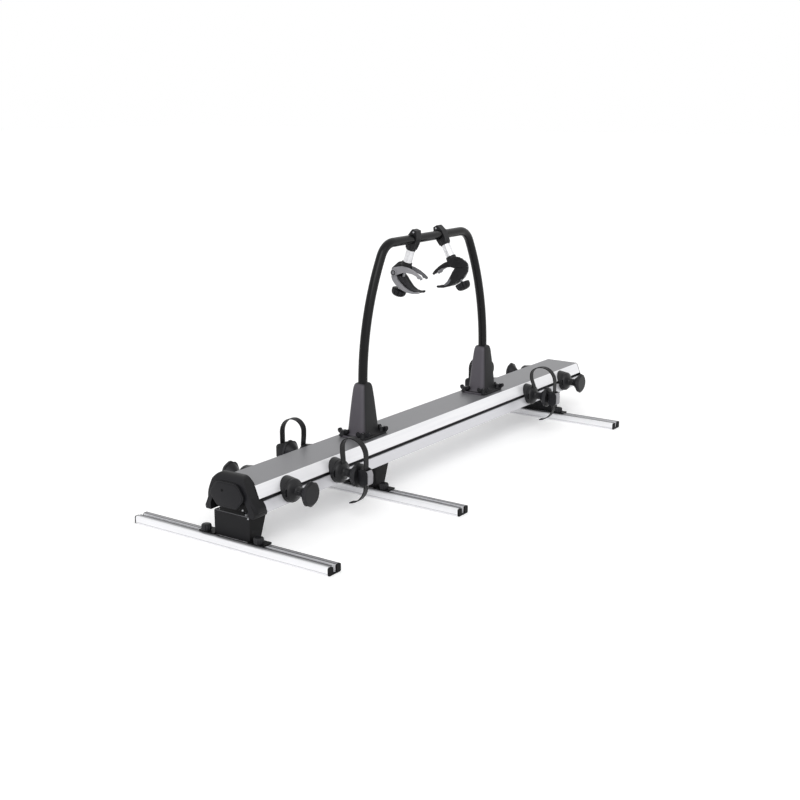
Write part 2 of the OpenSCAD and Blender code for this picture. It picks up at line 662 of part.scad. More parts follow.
// Each bend stops short of the next stretch inside a ball that is hardly wider than the tube
joint_gap = 0.5;
joint_swell = 0.06;
module hoop_leg(r) {
    lean_h = (hoop_lean_r - hoop_bend_r) * sin(lean_angle);
    bend_c = hoop_lean_r - (hoop_lean_r - hoop_bend_r) * cos(lean_angle);
    meet = [hoop_lean_r * (1 - cos(lean_angle)), 0, lean_from + hoop_lean_r * sin(lean_angle)];
    foot = beam_top + 12;
    short_lean = joint_gap / hoop_lean_r * 180 / PI;
    short_bend = joint_gap / hoop_bend_r * 180 / PI;
    translate([0, 0, foot]) cylinder(h = lean_from - foot, r = r);
    translate([0, 0, lean_from]) sphere(r = r + joint_swell);
    translate([hoop_lean_r, 0, lean_from]) rotate([-90, 0, 0]) rotate([0, 0, 180 + short_lean])
        rotate_extrude(angle = lean_angle - 2 * short_lean) translate([hoop_lean_r, 0]) circle(r = r);
    translate(meet) sphere(r = r + joint_swell);
    translate([bend_c, 0, lean_from + lean_h]) rotate([90, 0, 0]) rotate([0, 0, 90 + short_bend])
        rotate_extrude(angle = 90 - lean_angle - 2 * short_bend) translate([hoop_bend_r, 0]) circle(r = r);
    translate([bend_c, 0, hoop_top]) sphere(r = r + joint_swell);
}
module hoop_form(r) {
    bend_c = hoop_lean_r - (hoop_lean_r - hoop_bend_r) * cos(lean_angle);
    for (a = [0, 180]) rotate([0, 0, a]) translate([-hoop_w / 2, 0, 0]) hoop_leg(r);
    translate([0, 0, hoop_top]) rod_x(bend_c - hoop_w / 2, hoop_w / 2 - bend_c, r);
}
module hoop() {
    color(black) translate([hoop_mid, 0, 0]) difference() {
        hoop_form(hoop_r);
        hoop_form(hoop_r - hoop_wall);
    }
}
module wing_screw() {
    nut_h = 4.5;
    shank = base_t + beam_wall + nut_h;
    translate([0, 0, -shank]) cylinder(h = shank + 3, r = wing_bolt_r);
    cylinder(h = 1.5, r = 7);
    cylinder(h = 9, r = 5.5);
    along_y(-2.2, 2.2) for (s = [-1, 1]) mirror([s > 0 ? 0 : 1, 0])
        polygon(rounded([[0, 2, 0], [wing_span / 2 - 4, 3.5, 3], [wing_span / 2, 8, 3],
            [wing_span / 2 - 3, 13, 3], [5, 8, 2], [0, 8, 0]], 5));
    translate([0, 0, -shank]) cylinder(h = nut_h, r = 5.5, $fn = 6);
}
module wing_screws() {
    color(black) for (i = [0, 1]) base_corners(i) translate([0, 0, beam_top + base_t])
        rotate([0, 0, 35]) wing_screw();
}

// Wheel chocks. The cone's back follows the side of the beam.
rim_r = chock_d / 2;
shoulder_r = rim_r - 3.1;
function cone_profile() = let (t0 = chan_in - 4, t1 = chock_shoulder, l = chock_len)
    concat([[0, t0], [rim_r + 1, t0], [rim_r, t0 + 6], [shoulder_r + 0.4, t1 - 0.8], [shoulder_r - 0.9, t1],
        [shoulder_r, t1 + 1.2]],
        arc([shoulder_r - 9, t1 + 4], 9, -5, 62, 7),
        arc([neck_r + 13, t1 + 0.75 * l], 13, 210, 180, 6),
        [[neck_r, t1 + l], [0, t1 + l]]);
function side_planes() = both_sides([[beam_half(-20) + clear, beam_z - 20, 0],
    [beam_slot_w / 2 + clear, slot_z, 0], [beam_half(beam_h + 20) + clear, beam_top + 20, 0]]);
module stud_and_head() {
    rod_y(-stud_reach, -chan_in - 1, stud_r);
    translate([0, -chan_out + clear + 5 / 2, 0]) cube([18, 5, slot_chan_h - 2 * clear], center = true);
}
stud_reach = star_face - 3;
module chock_cone(x, strapped, far_side) {
    slit_h = strap_w + 1;
    slit_w = strap_t + 0.8;
    color(charcoal) on_side(far_side) translate([x, 0, slot_z]) {
        difference() {
            rotate([90, 0, 0]) rotate_extrude() polygon(cone_profile());
            translate([0, 0, -slot_z]) along_x(-chock_d, chock_d) polygon([for (p = side_planes()) [p[0], p[1]]]);
            rod_y(-neck_end - 1, -chan_in, stud_r + fit);
            translate([-rim_r - 1, -chock_shoulder - 4 - slit_w, -slit_h / 2]) cube([12, slit_w, slit_h]);
            if (strapped) translate([-slit_h / 2, -strap_in - slit_w / 2, neck_r + 3]) cube([slit_h, slit_w, rim_r]);
        }
        color(steel) stud_and_head();
    }
}
module star_knob(x, far_side) {
    lobes = 8;
    star_r = star_d / 2;
    hub_end_r = 0.86 * star_r;
    color(charcoal) on_side(far_side) translate([x, 0, slot_z]) difference() {
        rotate([90, 0, 0]) union() {
            rotate_extrude() polygon(concat([[0, star_start], [neck_r, star_start], [neck_r + 1, star_start + 2.5]],
                [[neck_r + 6, star_start + 0.42 * star_hub], [hub_end_r, star_back - 0.5], [hub_end_r, star_back + 1], [0, star_back + 1]]));
            intersection() {
                along_z(star_back, star_face) difference() {
                    circle(r = star_r);
                    for (k = [0:lobes - 1]) rotate((k + 0.5) * 360 / lobes) translate([star_r + 21, 0]) circle(r = 23.5);
                }
                rotate_extrude() polygon([[0, star_back], [star_r - 2, star_back], [star_r, star_back + 2],
                    [star_r, star_back + 0.55 * star_t], [0.8 * star_r, star_face], [0, star_face]]);
            }
        }
        rod_y(-stud_reach - 0.2, -star_start + 1, stud_r + fit);
    }
}

// Wheel straps and buckles
function strap_route() = let (rise = slot_z + strap_rise)
    concat([[strap_in, slot_z + neck_r + 3.4]],
        arc([strap_in + strap_r_in, rise - strap_r_in], strap_r_in, 180, 90, 9),
        arc([strap_in + strap_r_in, rise - strap_r_out], strap_r_out, 81, 0, 9),
        arc([strap_out - tail_r, tail_top], tail_r, 0, -84, 9));
module strap(x, far_side) {
    color(black) on_side(far_side) translate([x - strap_w / 2, 0, 0]) along_x(0, strap_w)
        polygon([for (p = band(strap_route(), strap_t)) [-p[0], p[1]]]);
}
module buckle(x, far_side) {
    d = buckle_d;
    h = buckle_h;
    in = buckle_in + 4;
    pass = strap_t / 2 + clear;
    color(black) on_side(far_side) translate([x, 0, slot_z]) difference() {
        union() {
            along_x(-buckle_w / 2, buckle_w / 2) mirror([1, 0]) polygon(rounded([[in, -0.40 * h, 3], [in + 5, -h / 2, 3],
                [in + d - 5, -h / 2, 5], [in + d, -0.36 * h, 6], [in + d, 0.30 * h, 8], [in + d - 6, 0.44 * h, 3],
                [in + 8, h / 2, 3], [in, 0.36 * h, 3]], 5));
            rod_y(-in - 1, -buckle_in, 9);
        }
        along_x(-strap_w / 2 - clear, strap_w / 2 + clear) mirror([1, 0])
            translate([strap_out - pass, -h]) square([2 * pass, 2 * h]);
    }
}

// Frame clamps, drawn in a frame at the hoop's centre with the arm straight down
collar_neck = collar_h + 4;
arm_end = arm_reach - 34;
pivot = [jaw_offset, -arm_reach];
grip_top = arm_reach + 42;
module in_jaw() { translate([0, pivot[0], pivot[1]]) rotate([-jaw_tilt, 0, 0]) mirror([0, 1, 0]) children(); }
module clamp_place(right) {
    if (right) translate([clamp_right_x, 0, hoop_top]) rotate([0, 0, 180]) rotate([clamp_right_lean, 0, 0]) children();
    else translate([clamp_left_x, 0, hoop_top]) rotate([clamp_left_lean, 0, 0]) children();
}
module collar(right) {
    l = collar_l;
    color(black) clamp_place(right) difference() {
        union() {
            along_x(-l / 2, l / 2) polygon(rounded(both_sides([[arm_d / 2, -collar_h, 2], [collar_w / 2, -collar_h / 2, 3],
                [collar_w / 2, collar_h / 2, 3], [0.3 * collar_w, collar_h, 3]]), 4));
            translate([0, 0, -collar_neck]) cylinder(h = collar_neck - hoop_r - 1, r = arm_d / 2 + 1.8);
        }
        rod_x(-l, l, hoop_r + fit);
        translate([0, 0, -collar_neck - 1]) cylinder(h = collar_neck - hoop_r - 4, r = arm_d / 2);
        translate([-l, -collar_w, -0.6]) cube([2 * l, collar_w, 1.2]);
        translate([0, 0, collar_h - 3]) cylinder(h = 4, r = 4);
    }
}
module arm(right) {
    color(silver) clamp_place(right) translate([0, 0, -arm_end]) difference() {
        cylinder(h = arm_end - hoop_r - 6, r = arm_d / 2);
        translate([0, 0, -1]) cylinder(h = arm_end, r = arm_d / 2 - 2.5);
    }
}
// Jaw outlines run from the pivot towards the tips along the first number
upper_outline = [[-9, 6, 4], [-3, 17, 5], [16, 24, 4], [42, 19, 8], [62, 13, 20], [80, 4, 20], [96.5, -5.6, 2.5],
    [92, -11.5, 2.5], [81, -3.8, 6], [64, 3, 12], [46, 2, 12], [20, -1, 10], [7, -8, 2], [-5, -8, 4]];
lower_outline = [[-8, 4, 4], [-7, -16, 8], [10, -32, 10], [34, -45.6, 14], [58, -52.6, 14], [80, -52.7, 14],
    [105.4, -40.5, 1.2], [105, -37.6, 1.2], [88, -44, 10], [66, -44, 12], [44, -35, 14], [28, -20, 10], [13, -9, 5], [7, 4, 4]];
screw_at = jaw_offset / cos(jaw_tilt);
module upper_jaw(right) {
    half = jaw_w / 2;
    slot = half - jaw_side;
    color(grey) clamp_place(right) {
        difference() {
            union() {
                in_jaw() difference() {
                    union() {
                        along_x(-half, half) polygon(rounded(upper_outline, 5));
                        rod_x(-half, half, pivot_d / 2);
                    }
                    translate([-slot, 46, 5]) cube([2 * slot, 60, 40]);
                    translate([-slot, 86, -20]) cube([2 * slot, 30, 40]);
                    rod_x(-slot - clear, slot + clear, pivot_d / 2 + clear);
                    translate([-slot - clear, -20, -20]) cube([2 * slot + 2 * clear, 34, 22]);
                    translate([-slot - clear, -20, -8]) cube([2 * slot + 2 * clear, 14, 20]);
                    for (a = [74, 84]) translate([0, a, a == 74 ? -1.5 : -8]) rod_x(-half - 1, half + 1, 2.2);
                }
                translate([0, 0, -arm_end - 7]) cylinder(h = 13, r = arm_d / 2 + 2.6);
            }
            translate([0, 0, -arm_end]) cylinder(h = 20, r = arm_d / 2);
            translate([-screw_d / 2 - 1.5, -screw_d / 2 - 6, -arm_reach - 20]) cube([screw_d + 3, screw_d + 12.5, 39]);
            in_jaw() rod_x(-half - 1, half + 1, jaw_pin_d / 2);
        }
        color(steel) in_jaw() {
            rod_x(-half - 1.5, half + 1.5, jaw_pin_d / 2);
            rod_x(-half - 3, -half, 6);
        }
    }
}
module lower_jaw(right) {
    half = jaw_w / 2;
    slot = half - jaw_side - clear;
    color(grey) clamp_place(right) difference() {
        in_jaw() difference() {
            union() {
                along_x(-half, half) polygon(rounded(lower_outline, 5));
                rod_x(-half, half, pivot_d / 2);
            }
            for (x = [-half - 1, slot]) {
                rod_x(x, x + half + 1 - slot, pivot_d / 2 + 3.5);
                translate([x, -30, -9]) cube([half + 1 - slot, 44, 40]);
            }
            rod_x(-half, half, jaw_pin_d / 2 + fit);
        }
        translate([0, 0, -grip_top]) cylinder(h = 70, r = screw_d / 2 + fit);
    }
}
module grip(right) {
    ribs = 20;
    color(black) clamp_place(right) {
        translate([0, 0, -grip_top - 4]) cylinder(h = grip_top - arm_reach + 16, r = screw_d / 2);
        translate([0, 0, -grip_top - grip_h]) intersection() {
            along_z(0, grip_h) difference() {
                circle(r = grip_d / 2);
                for (k = [0:ribs - 1]) rotate(k * 360 / ribs) translate([grip_d / 2 + 0.6, 0]) circle(r = 1.8, $fn = 16);
            }
            rotate_extrude() polygon(rounded([[0, 0, 0], [grip_d / 2 - 1, 0, 5], [grip_d / 2, grip_h, 3], [0, grip_h, 0]], 5));
        }
    }
}

rail(0);  // rail_front
rail(1);  // rail_middle
rail(2);  // rail_rear
rail_end_caps();
bracket(0);  // bracket_front
bracket(1);  // bracket_middle
bracket(2);  // bracket_rear
bracket_bolts();
fixed_profile();
glide_pads();
rail_bolts();
rail_knob(0, -1);  // rail_knob_front_near
rail_knob(0, 1);  // rail_knob_front_far
rail_knob(1, -1);  // rail_knob_middle_near
rail_knob(1, 1);  // rail_knob_middle_far
rail_knob(2, -1);  // rail_knob_rear_near
rail_knob(2, 1);  // rail_knob_rear_far
beam_profile();
tail_trim();
nose_cap();
release_lever();
lever_pin();
tower(0);  // tower_front
tower(1);  // tower_rear
hoop();
wing_screws();
chock_cone(near[0], false, false);  // chock_near_1_cone
chock_cone(near[1], true, false);  // chock_near_2_cone
chock_cone(near[2], true, false);  // chock_near_3_cone
chock_cone(near[3], false, false);  // chock_near_4_cone
chock_cone(far[0], false, true);  // chock_far_1_cone
chock_cone(far[1], true, true);  // chock_far_2_cone
chock_cone(far[2], true, true);  // chock_far_3_cone
chock_cone(far[3], false, true);  // chock_far_4_cone
star_knob(near[0], false);  // chock_near_1_knob
star_knob(near[1], false);  // chock_near_2_knob
star_knob(near[2], false);  // chock_near_3_knob
star_knob(near[3], false);  // chock_near_4_knob
star_knob(far[0], true);  // chock_far_1_knob
star_knob(far[1], true);  // chock_far_2_knob
star_knob(far[2], true);  // chock_far_3_knob
star_knob(far[3], true);  // chock_far_4_knob
strap(near[1], false);  // strap_near_2
strap(near[2], false);  // strap_near_3
strap(far[1], true);  // strap_far_2
strap(far[2], true);  // strap_far_3
buckle(near[1], false);  // buckle_near_2
buckle(near[2], false);  // buckle_near_3
buckle(far[1], true);  // buckle_far_2
buckle(far[2], true);  // buckle_far_3
collar(false);  // collar_left
arm(false);  // arm_left
upper_jaw(false);  // upper_jaw_left
lower_jaw(false);  // lower_jaw_left
grip(false);  // grip_left
collar(true);  // collar_right
arm(true);  // arm_right
upper_jaw(true);  // upper_jaw_right
lower_jaw(true);  // lower_jaw_right
grip(true);  // grip_right
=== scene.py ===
"""Looks, small details, light and camera for the slide-out bicycle carrier.

Every length is in the part's own frame: +X runs along the beam to its rear end, +Y along
the floor rails, +Z up, with the origin on the floor under the front rail. Lengths are in
metres, apart from the corners that rounded() takes, which are in millimetres.
"""

import logging
import math
from dataclasses import dataclass
from enum import Enum
from typing import Any, Callable, Iterable, Sequence

import bpy
from mathutils import Matrix, Vector


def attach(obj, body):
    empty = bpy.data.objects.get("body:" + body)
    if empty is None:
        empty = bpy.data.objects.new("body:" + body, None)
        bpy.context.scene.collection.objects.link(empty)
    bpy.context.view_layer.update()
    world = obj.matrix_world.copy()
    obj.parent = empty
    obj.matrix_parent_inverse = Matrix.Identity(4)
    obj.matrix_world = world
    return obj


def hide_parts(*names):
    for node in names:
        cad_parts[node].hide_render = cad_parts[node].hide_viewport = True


logging.basicConfig(level=logging.INFO, format="%(levelname)s %(message)s")
log = logging.getLogger("carrier")

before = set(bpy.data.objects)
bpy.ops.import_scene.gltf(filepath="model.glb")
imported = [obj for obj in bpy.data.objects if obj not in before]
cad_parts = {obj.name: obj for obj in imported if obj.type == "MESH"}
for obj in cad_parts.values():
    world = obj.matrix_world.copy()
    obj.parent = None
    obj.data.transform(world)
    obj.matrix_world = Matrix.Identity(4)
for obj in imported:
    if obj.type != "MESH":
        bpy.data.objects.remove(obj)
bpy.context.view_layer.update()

Colour = tuple[float, float, float, float]
Point = tuple[float, float, float]
Flat = tuple[float, float]
# Corners in millimetres, each with the radius that rounds it
Corners = tuple[Point, ...]
Profile = tuple[Flat, ...]
Material = bpy.types.Material
Piece = bpy.types.Object


def srgb(text: str) -> Colour:
    """Turns a six digit colour such as "8b8b8d" into the linear colour that shaders take.

    Args:
        text: Red, green and blue as two hexadecimal digits each.

    Returns:
        Linear red, green and blue, with an alpha of one.
    """
    parts = [int(text[i : i + 2], 16) / 255 for i in (0, 2, 4)]
    linear = [c / 12.92 if c <= 0.04045 else ((c + 0.055) / 1.055) ** 2.4 for c in parts]
    return (linear[0], linear[1], linear[2], 1.0)


# Sizes


@dataclass(frozen=True)
class Beam:
    """Places on the moving beam.

    Attributes:
        start: Its front end, behind the middle of the front rail.
        top: Height of its upper face.
        slot: Height of the middle of the slots in its sides.
        slot_high: Half the height of a slot's inside, which is painted dark as shade.
        slot_in: How far from the beam's middle that painted shade reaches.
    """

    start: float = 0.020
    top: float = 0.1534
    slot: float = 0.1182
    slot_high: float = 0.0072
    slot_in: float = 0.0672


@dataclass(frozen=True)
class ChockPlace:
    """Where one wheel chock stands.

    Attributes:
        name: The end of its nodes' names, such as near_2.
        x: Distance behind the middle of the front rail.
        side: -1 on the near side of the beam and 1 on the far side.
        strapped: Whether it carries a wheel strap.
    """

    name: str
    x: float
    side: int
    strapped: bool


CHOCKS = tuple(
    ChockPlace(f"{word}_{i + 1}", x, side, i in (1, 2))
    for word, side, xs in (
        ("near", -1, (0.1275, 0.313, 1.296, 1.524)),
        ("far", 1, (0.145, 0.376, 1.320, 1.543)),
    )
    for i, x in enumerate(xs)
)


@dataclass(frozen=True)
class ClampPlace:
    """Where one frame clamp hangs from the hoop.

    Attributes:
        name: left or right.
        x: Distance behind the middle of the front rail.
        lean: Angle of the arm from straight down, in degrees.
        turned: Whether it is turned half round about the vertical.
    """

    name: str
    x: float
    lean: float
    turned: bool


CLAMPS = (ClampPlace("left", 0.755, 18.6, False), ClampPlace("right", 0.890, 28.6, True))
RAILS = (("front", 0.0), ("middle", 0.497), ("rear", 1.478))
TOWERS = (("front", 0.5175), ("rear", 1.1255))
# Height of the middle of the hoop's level run
HOOP_TOP = 0.6497
# Tilt of the jaws in degrees, and the place of their pin across and below the hoop
JAW_TILT = 18.6
JAW_PIVOT = (0.022, -0.107)


# Shader maths


class Nodes:
    """The node tree of a material or of the world."""

    def __init__(self, tree: bpy.types.NodeTree) -> None:
        """Wraps a tree."""
        self.tree = tree

    def feed(
        self, socket: bpy.types.NodeSocket, value: "Value | bpy.types.NodeSocket | float | Sequence[float]"
    ) -> None:
        """Gives a socket a number, a colour or a link."""
        source = value.socket if isinstance(value, Value) else value
        if isinstance(source, bpy.types.NodeSocket):
            self.tree.links.new(source, socket)
        else:
            socket.default_value = source

    def node(self, kind: str, settings: dict[str, Any], inputs: dict[int | str, Any]) -> bpy.types.Node:
        """Adds one node.

        Args:
            kind: Its type, without the leading ShaderNode.
            settings: Its own settings, which are set first.
            inputs: The value or link of each socket, by its number or name.

        Returns:
            The new node.
        """
        node = self.tree.nodes.new(f"ShaderNode{kind}")
        for name, setting in settings.items():
            setattr(node, name, setting)
        for key, value in inputs.items():
            self.feed(node.inputs[key], value)
        return node


class Value:
    """A shader value that changes over a surface and takes ordinary arithmetic."""

    def __init__(self, nodes: Nodes, socket: bpy.types.NodeSocket) -> None:
        """Wraps the socket that gives the value."""
        self.nodes = nodes
        self.socket = socket

    def _math(self, kind: str, *parts: "Value | float") -> "Value":
        """The result of a Math node over the parts."""
        node = self.nodes.node("Math", {"operation": kind}, dict(enumerate(parts)))
        return Value(self.nodes, node.outputs[0])

    def __add__(self, other: "Value | float") -> "Value":
        """The sum."""
        return self._math("ADD", self, other)

    def __sub__(self, other: "Value | float") -> "Value":
        """This value less the other."""
        return self._math("SUBTRACT", self, other)

    def __rsub__(self, other: float) -> "Value":
        """The other value less this one."""
        return self._math("SUBTRACT", other, self)

    def __mul__(self, other: "Value | float") -> "Value":
        """The product."""
        return self._math("MULTIPLY", self, other)

    def __neg__(self) -> "Value":
        """The value with its sign turned."""
        return self * -1.0

    def __gt__(self, other: "Value | float") -> "Value":
        """1 where this value is the larger one, else 0."""
        return self._math("GREATER_THAN", self, other)

    def __lt__(self, other: "Value | float") -> "Value":
        """1 where this value is the smaller one, else 0."""
        return self._math("LESS_THAN", self, other)

    __radd__ = __add__
    __rmul__ = __mul__

    def abs(self) -> "Value":
        """The value without its sign."""
        return self._math("ABSOLUTE", self)

    def at_most(self, limit: float) -> "Value":
        """The value, or the limit where that is smaller."""
        return self._math("MINIMUM", self, limit)

    def wave(self, pitch: float) -> "Value":
        """A sine of the value, from 0 to 1, that repeats every pitch."""
        angle = self * (2 * math.pi / pitch)
        return angle._math("SINE", angle) * 0.5 + 0.5

    def step(self, start: float, end: float) -> "Value":
        """A smooth rise from 0 at start to 1 at end."""
        inputs = {"From Min": start, "From Max": end, "Value": self}
        node = self.nodes.node("MapRange", {"interpolation_type": "SMOOTHSTEP"}, inputs)
        return Value(self.nodes, node.outputs["Result"])

    def between(self, low: float, high: float, soft: float) -> "Value":
        """1 from low to high, with soft edges of that width."""
        return self.step(low - soft, low) * (1 - self.step(high, high + soft))


class Shader(Nodes):
    """One material under construction."""

    def __init__(self, name: str) -> None:
        """Starts a material of that name."""
        self.material = bpy.data.materials.new(name)
        self.material.use_nodes = True
        super().__init__(self.material.node_tree)
        self.bsdf = self.tree.nodes["Principled BSDF"]
        self.coordinates = self.node("TexCoord", {}, {})

    def axis(self, letter: str, source: str = "Object") -> Value:
        """The object coordinate along one axis."""
        node = self.node("SeparateXYZ", {}, {0: self.coordinates.outputs[source]})
        return Value(self, node.outputs[letter.upper()])

    def normal(self, letter: str) -> Value:
        """The surface's own direction along one axis."""
        return self.axis(letter, "Normal")

    def lit_front_mask(self) -> Value:
        """1 on surfaces that face -X, falling to 0 on those that face sideways; it marks where painted
        light goes.
        """
        return (-self.normal("x")).step(0.15, 0.85)

    def noise(self, scale: Point, detail: float) -> Value:
        """Noise whose grains are one over scale metres long along each axis."""
        stretch = self.node("Mapping", {}, {"Scale": scale, "Vector": self.coordinates.outputs["Object"]})
        inputs = {"Scale": 1.0, "Detail": detail, "Vector": stretch.outputs["Vector"]}
        return Value(self, self.node("TexNoise", {}, inputs).outputs["Fac"])

    def mix(self, amount: Value, low: Colour | bpy.types.NodeSocket, high: Colour) -> bpy.types.NodeSocket:
        """A colour between low and high."""
        return self.node("Mix", {"data_type": "RGBA"}, {0: amount, 6: low, 7: high}).outputs[2]

    def bump(self, height: Value, distance: float) -> None:
        """Raises the surface by height times distance, on top of softened edges."""
        inputs: dict[int | str, Any] = {"Strength": 1.0, "Distance": distance, "Height": height}
        linked = self.bsdf.inputs["Normal"].links
        if linked:
            inputs["Normal"] = linked[0].from_socket
        self.set("Normal", self.node("Bump", {}, inputs).outputs["Normal"])

    def soften(self, radius: float) -> None:
        """Rounds the look of sharp edges by a small radius."""
        self.set("Normal", self.node("Bevel", {"samples": 4}, {"Radius": radius}).outputs["Normal"])

    def set(self, name: str, value: "Value | bpy.types.NodeSocket | float | Colour") -> None:
        """Gives an input of the surface a number, a colour or something that varies."""
        self.feed(self.bsdf.inputs[name], value)


# Finishes


class Grain(Enum):
    """How a surface is textured: scale and detail of its fine grain, then of its broad drift."""

    MOULDED = ((2100, 2100, 2100), 3.0, (18, 18, 18), 3.0)
    POWDER = ((1500, 1500, 1500), 2.0, (25, 25, 25), 2.0)
    DRAWN_X = ((9, 2600, 2600), 3.0, (4, 160, 160), 2.0)
    TURNED = ((400, 400, 2400), 3.0, (60, 60, 200), 2.0)
    RUBBER = ((700, 700, 700), 5.0, (30, 30, 30), 3.0)
    SPECKLED = ((900, 900, 900), 2.0, (520, 520, 520), 3.0)


@dataclass(frozen=True)
class Finish:
    """What a material looks like.

    Attributes:
        name: Name of the Blender material.
        colour: Main colour as six hexadecimal digits.
        second: Colour that the main one drifts to.
        roughness: From 0, polished, to 1, matt.
        metallic: 1 for bare metal.
        grain: Kind of surface texture.
        bump: Height of that texture in metres.
        edge: Radius of softened edges in metres, or 0.
        specular: How strongly a plain surface mirrors its surroundings.
        front: Painted light: a lighter colour for the surfaces that face -X, where it is set.
    """

    name: str
    colour: str
    second: str
    roughness: float
    metallic: float = 0.0
    grain: Grain = Grain.MOULDED
    bump: float = 0.00004
    edge: float = 0.0006
    specular: float = 0.22
    front: str = ""

    def build(self) -> Material:
        """Makes the material.

        Returns:
            The new Blender material.
        """
        shader = Shader(self.name)
        shader.set("Metallic", self.metallic)
        shader.set("Specular IOR Level", self.specular)
        if self.edge:
            shader.soften(self.edge)
        fine_scale, fine_detail, broad_scale, broad_detail = self.grain.value
        fine, broad = shader.noise(fine_scale, fine_detail), shader.noise(broad_scale, broad_detail)
        drift = broad.step(0.35, 0.65)
        colour = shader.mix(drift, srgb(self.colour), srgb(self.second))
        # Painted light: the faces that turn to -X take the lighter front colour.
        if self.front:
            colour = shader.mix(shader.lit_front_mask(), colour, srgb(self.front))
        shader.set("Base Color", colour)
        shader.set("Roughness", fine * 0.16 + (self.roughness - 0.08))
        shader.bump(fine, self.bump)
        return shader.material


# The front colours below are painted light: lighter faces where the light falls from -X.
PLASTIC = Finish("charcoal_plastic", "141416", "101012", 0.42, front="1c1c1f", specular=0.18)
KNOB_PLASTIC = Finish("knob_plastic", "19191b", "141416", 0.38, front="28282b", specular=0.2)
STRAP_PLASTIC = Finish("strap_plastic", "161618", "121214", 0.5, grain=Grain.RUBBER)
TOWER_PLASTIC = Finish("tower_plastic", "161618", "131315", 0.45, bump=0.00008, front="545157")
HOOP_COAT = Finish(
    "hoop_coat", "0c0c0e", "0a0a0b", 0.22, grain=Grain.POWDER, bump=0.00001, edge=0.0, specular=0.2
)
BRIGHT_TUBE = Finish(
    "bright_tube", "ececee", "e2e2e5", 0.3, metallic=0.5, grain=Grain.TURNED, edge=0.0, specular=0.5
)
ZINC = Finish(
    "zinc", "b9babd", "a8a9ad", 0.35, metallic=0.8, grain=Grain.TURNED, bump=0.00001, specular=0.5
)
MILL = Finish(
    "mill_aluminium", "b4b5b8", "a9aaad", 0.4, metallic=0.5, grain=Grain.DRAWN_X, bump=0.00001, specular=0.5
)
JAW_GREY = Finish("jaw_grey", "959498", "89898d", 0.4)
JAW_BLACK = Finish("jaw_black", "1d1d1f", "171719", 0.45)
END_BLACK = Finish("end_black", "060607", "040405", 0.5, specular=0.12)
# Painted highlight: the grey of jaw surfaces that catch the light.
JAW_PAINTED_HIGHLIGHT = Finish("jaw_liner", "68686c", "5e5e62", 0.4)
SCOOP_RUBBER = Finish(
    "scoop_rubber", "0f0f10", "3c3c40", 0.6, grain=Grain.SPECKLED, bump=0.00005, edge=0.0
)
GLIDE = Finish("glide_plastic", "1a1a1c", "151517", 0.45)


# Painted light and shade on a rail's grooved top: bright and dark bands, from, to and colour, measured from
# the rail's middle
RAIL_LIGHT_SHADE_BANDS = (
    (-0.0165, -0.0125, "b9b9bc"),
    (-0.0125, -0.0080, "8d8d90"),
    (-0.0080, -0.0036, "2b2b2d"),
    (-0.0036, 0.0036, "39393b"),
    (0.0036, 0.0062, "c9c9cc"),
    (0.0062, 0.0110, "4c4c4f"),
    (0.0110, 0.0140, "a5a5a8"),
    (0.0140, 0.0190, "6b6b6e"),
)


def bracket_material() -> Material:
    """Black powder coat with painted light: the faces that turn to -X lighter than the near-black sides,
    and a painted highlight along the folded top edge.
    """
    shader = Shader("powder_coat")
    shader.set("Specular IOR Level", 0.14)
    shader.soften(0.0006)
    fine = shader.noise((1500, 1500, 1500), 2.0)
    # Painted light and shade: near-black sides, lighter faces that turn to -X.
    colour = shader.mix(shader.lit_front_mask(), srgb("050506"), srgb("1b1b1d"))
    # Painted highlight: a pale line along the folded top edge.
    edge = shader.axis("z").between(0.0797, 0.0812, 0.0004)
    shader.set("Base Color", shader.mix(edge, colour, srgb("6c6c6f")))
    shader.set("Roughness", fine * 0.16 + 0.42)
    shader.bump(fine, 0.00006)
    return shader.material


def cone_material() -> Material:
    """Black plastic of the chock cones, with painted shade: a dark line in the groove behind the rim."""
    shader = Shader("cone_plastic")
    shader.set("Specular IOR Level", 0.25)
    shader.soften(0.0006)
    fine = shader.noise((2100, 2100, 2100), 3.0)
    broad = shader.noise((18, 18, 18), 3.0)
    colour = shader.mix(broad.step(0.35, 0.65), srgb("202022"), srgb("1a1a1c"))
    away = shader.axis("y").abs()
    # Painted shade: a dark ring in the groove behind the rim.
    colour = shader.mix(away.between(0.0760, 0.0765, 0.0003), colour, srgb("0c0c0d"))
    shader.set("Base Color", colour)
    shader.set("Roughness", fine * 0.16 + 0.3)
    shader.bump(fine, 0.00004)
    return shader.material


def beam_material() -> Material:
    """Anodised beam: bright sides, greyer below the slot, with painted shade on the top, inside the slot
    and on the front end face.
    """
    beam = Beam()
    shader = Shader("beam_anodised")
    shader.set("Metallic", 0.35)
    shader.soften(0.0006)
    fine = shader.noise((7, 3200, 3200), 3.0)
    broad = shader.noise((3, 120, 120), 2.0)
    side = shader.mix(broad.step(0.3, 0.7), srgb("efeff1"), srgb("e9e9ec"))
    # Painted shade: the upper face darker than the bright sides.
    top = shader.normal("z").step(0.7, 0.95)
    colour = shader.mix(top, side, srgb("7b7b7e"))
    y, z = shader.axis("y"), shader.axis("z")
    colour = shader.mix(z < beam.slot, colour, srgb("cfcfd3"))
    # Painted shade: the inside of the slot dark.
    slot = z.between(beam.slot - beam.slot_high, beam.slot + beam.slot_high, 0.0002)
    inside = slot * (y.abs() < beam.slot_in)
    colour = shader.mix(inside, colour, srgb("505053"))
    # The front end face near black: partly its black insert, partly painted shade under the nose cap.
    colour = shader.mix(shader.axis("x") < beam.start + 0.0015, colour, srgb("0c0c0d"))
    shader.set("Base Color", colour)
    shader.set("Roughness", fine * 0.14 + 0.26 + top * 0.06)
    grooves = y.wave(0.004) * top
    shader.bump(fine * 0.5 + grooves * 0.4, 0.00004)
    return shader.material


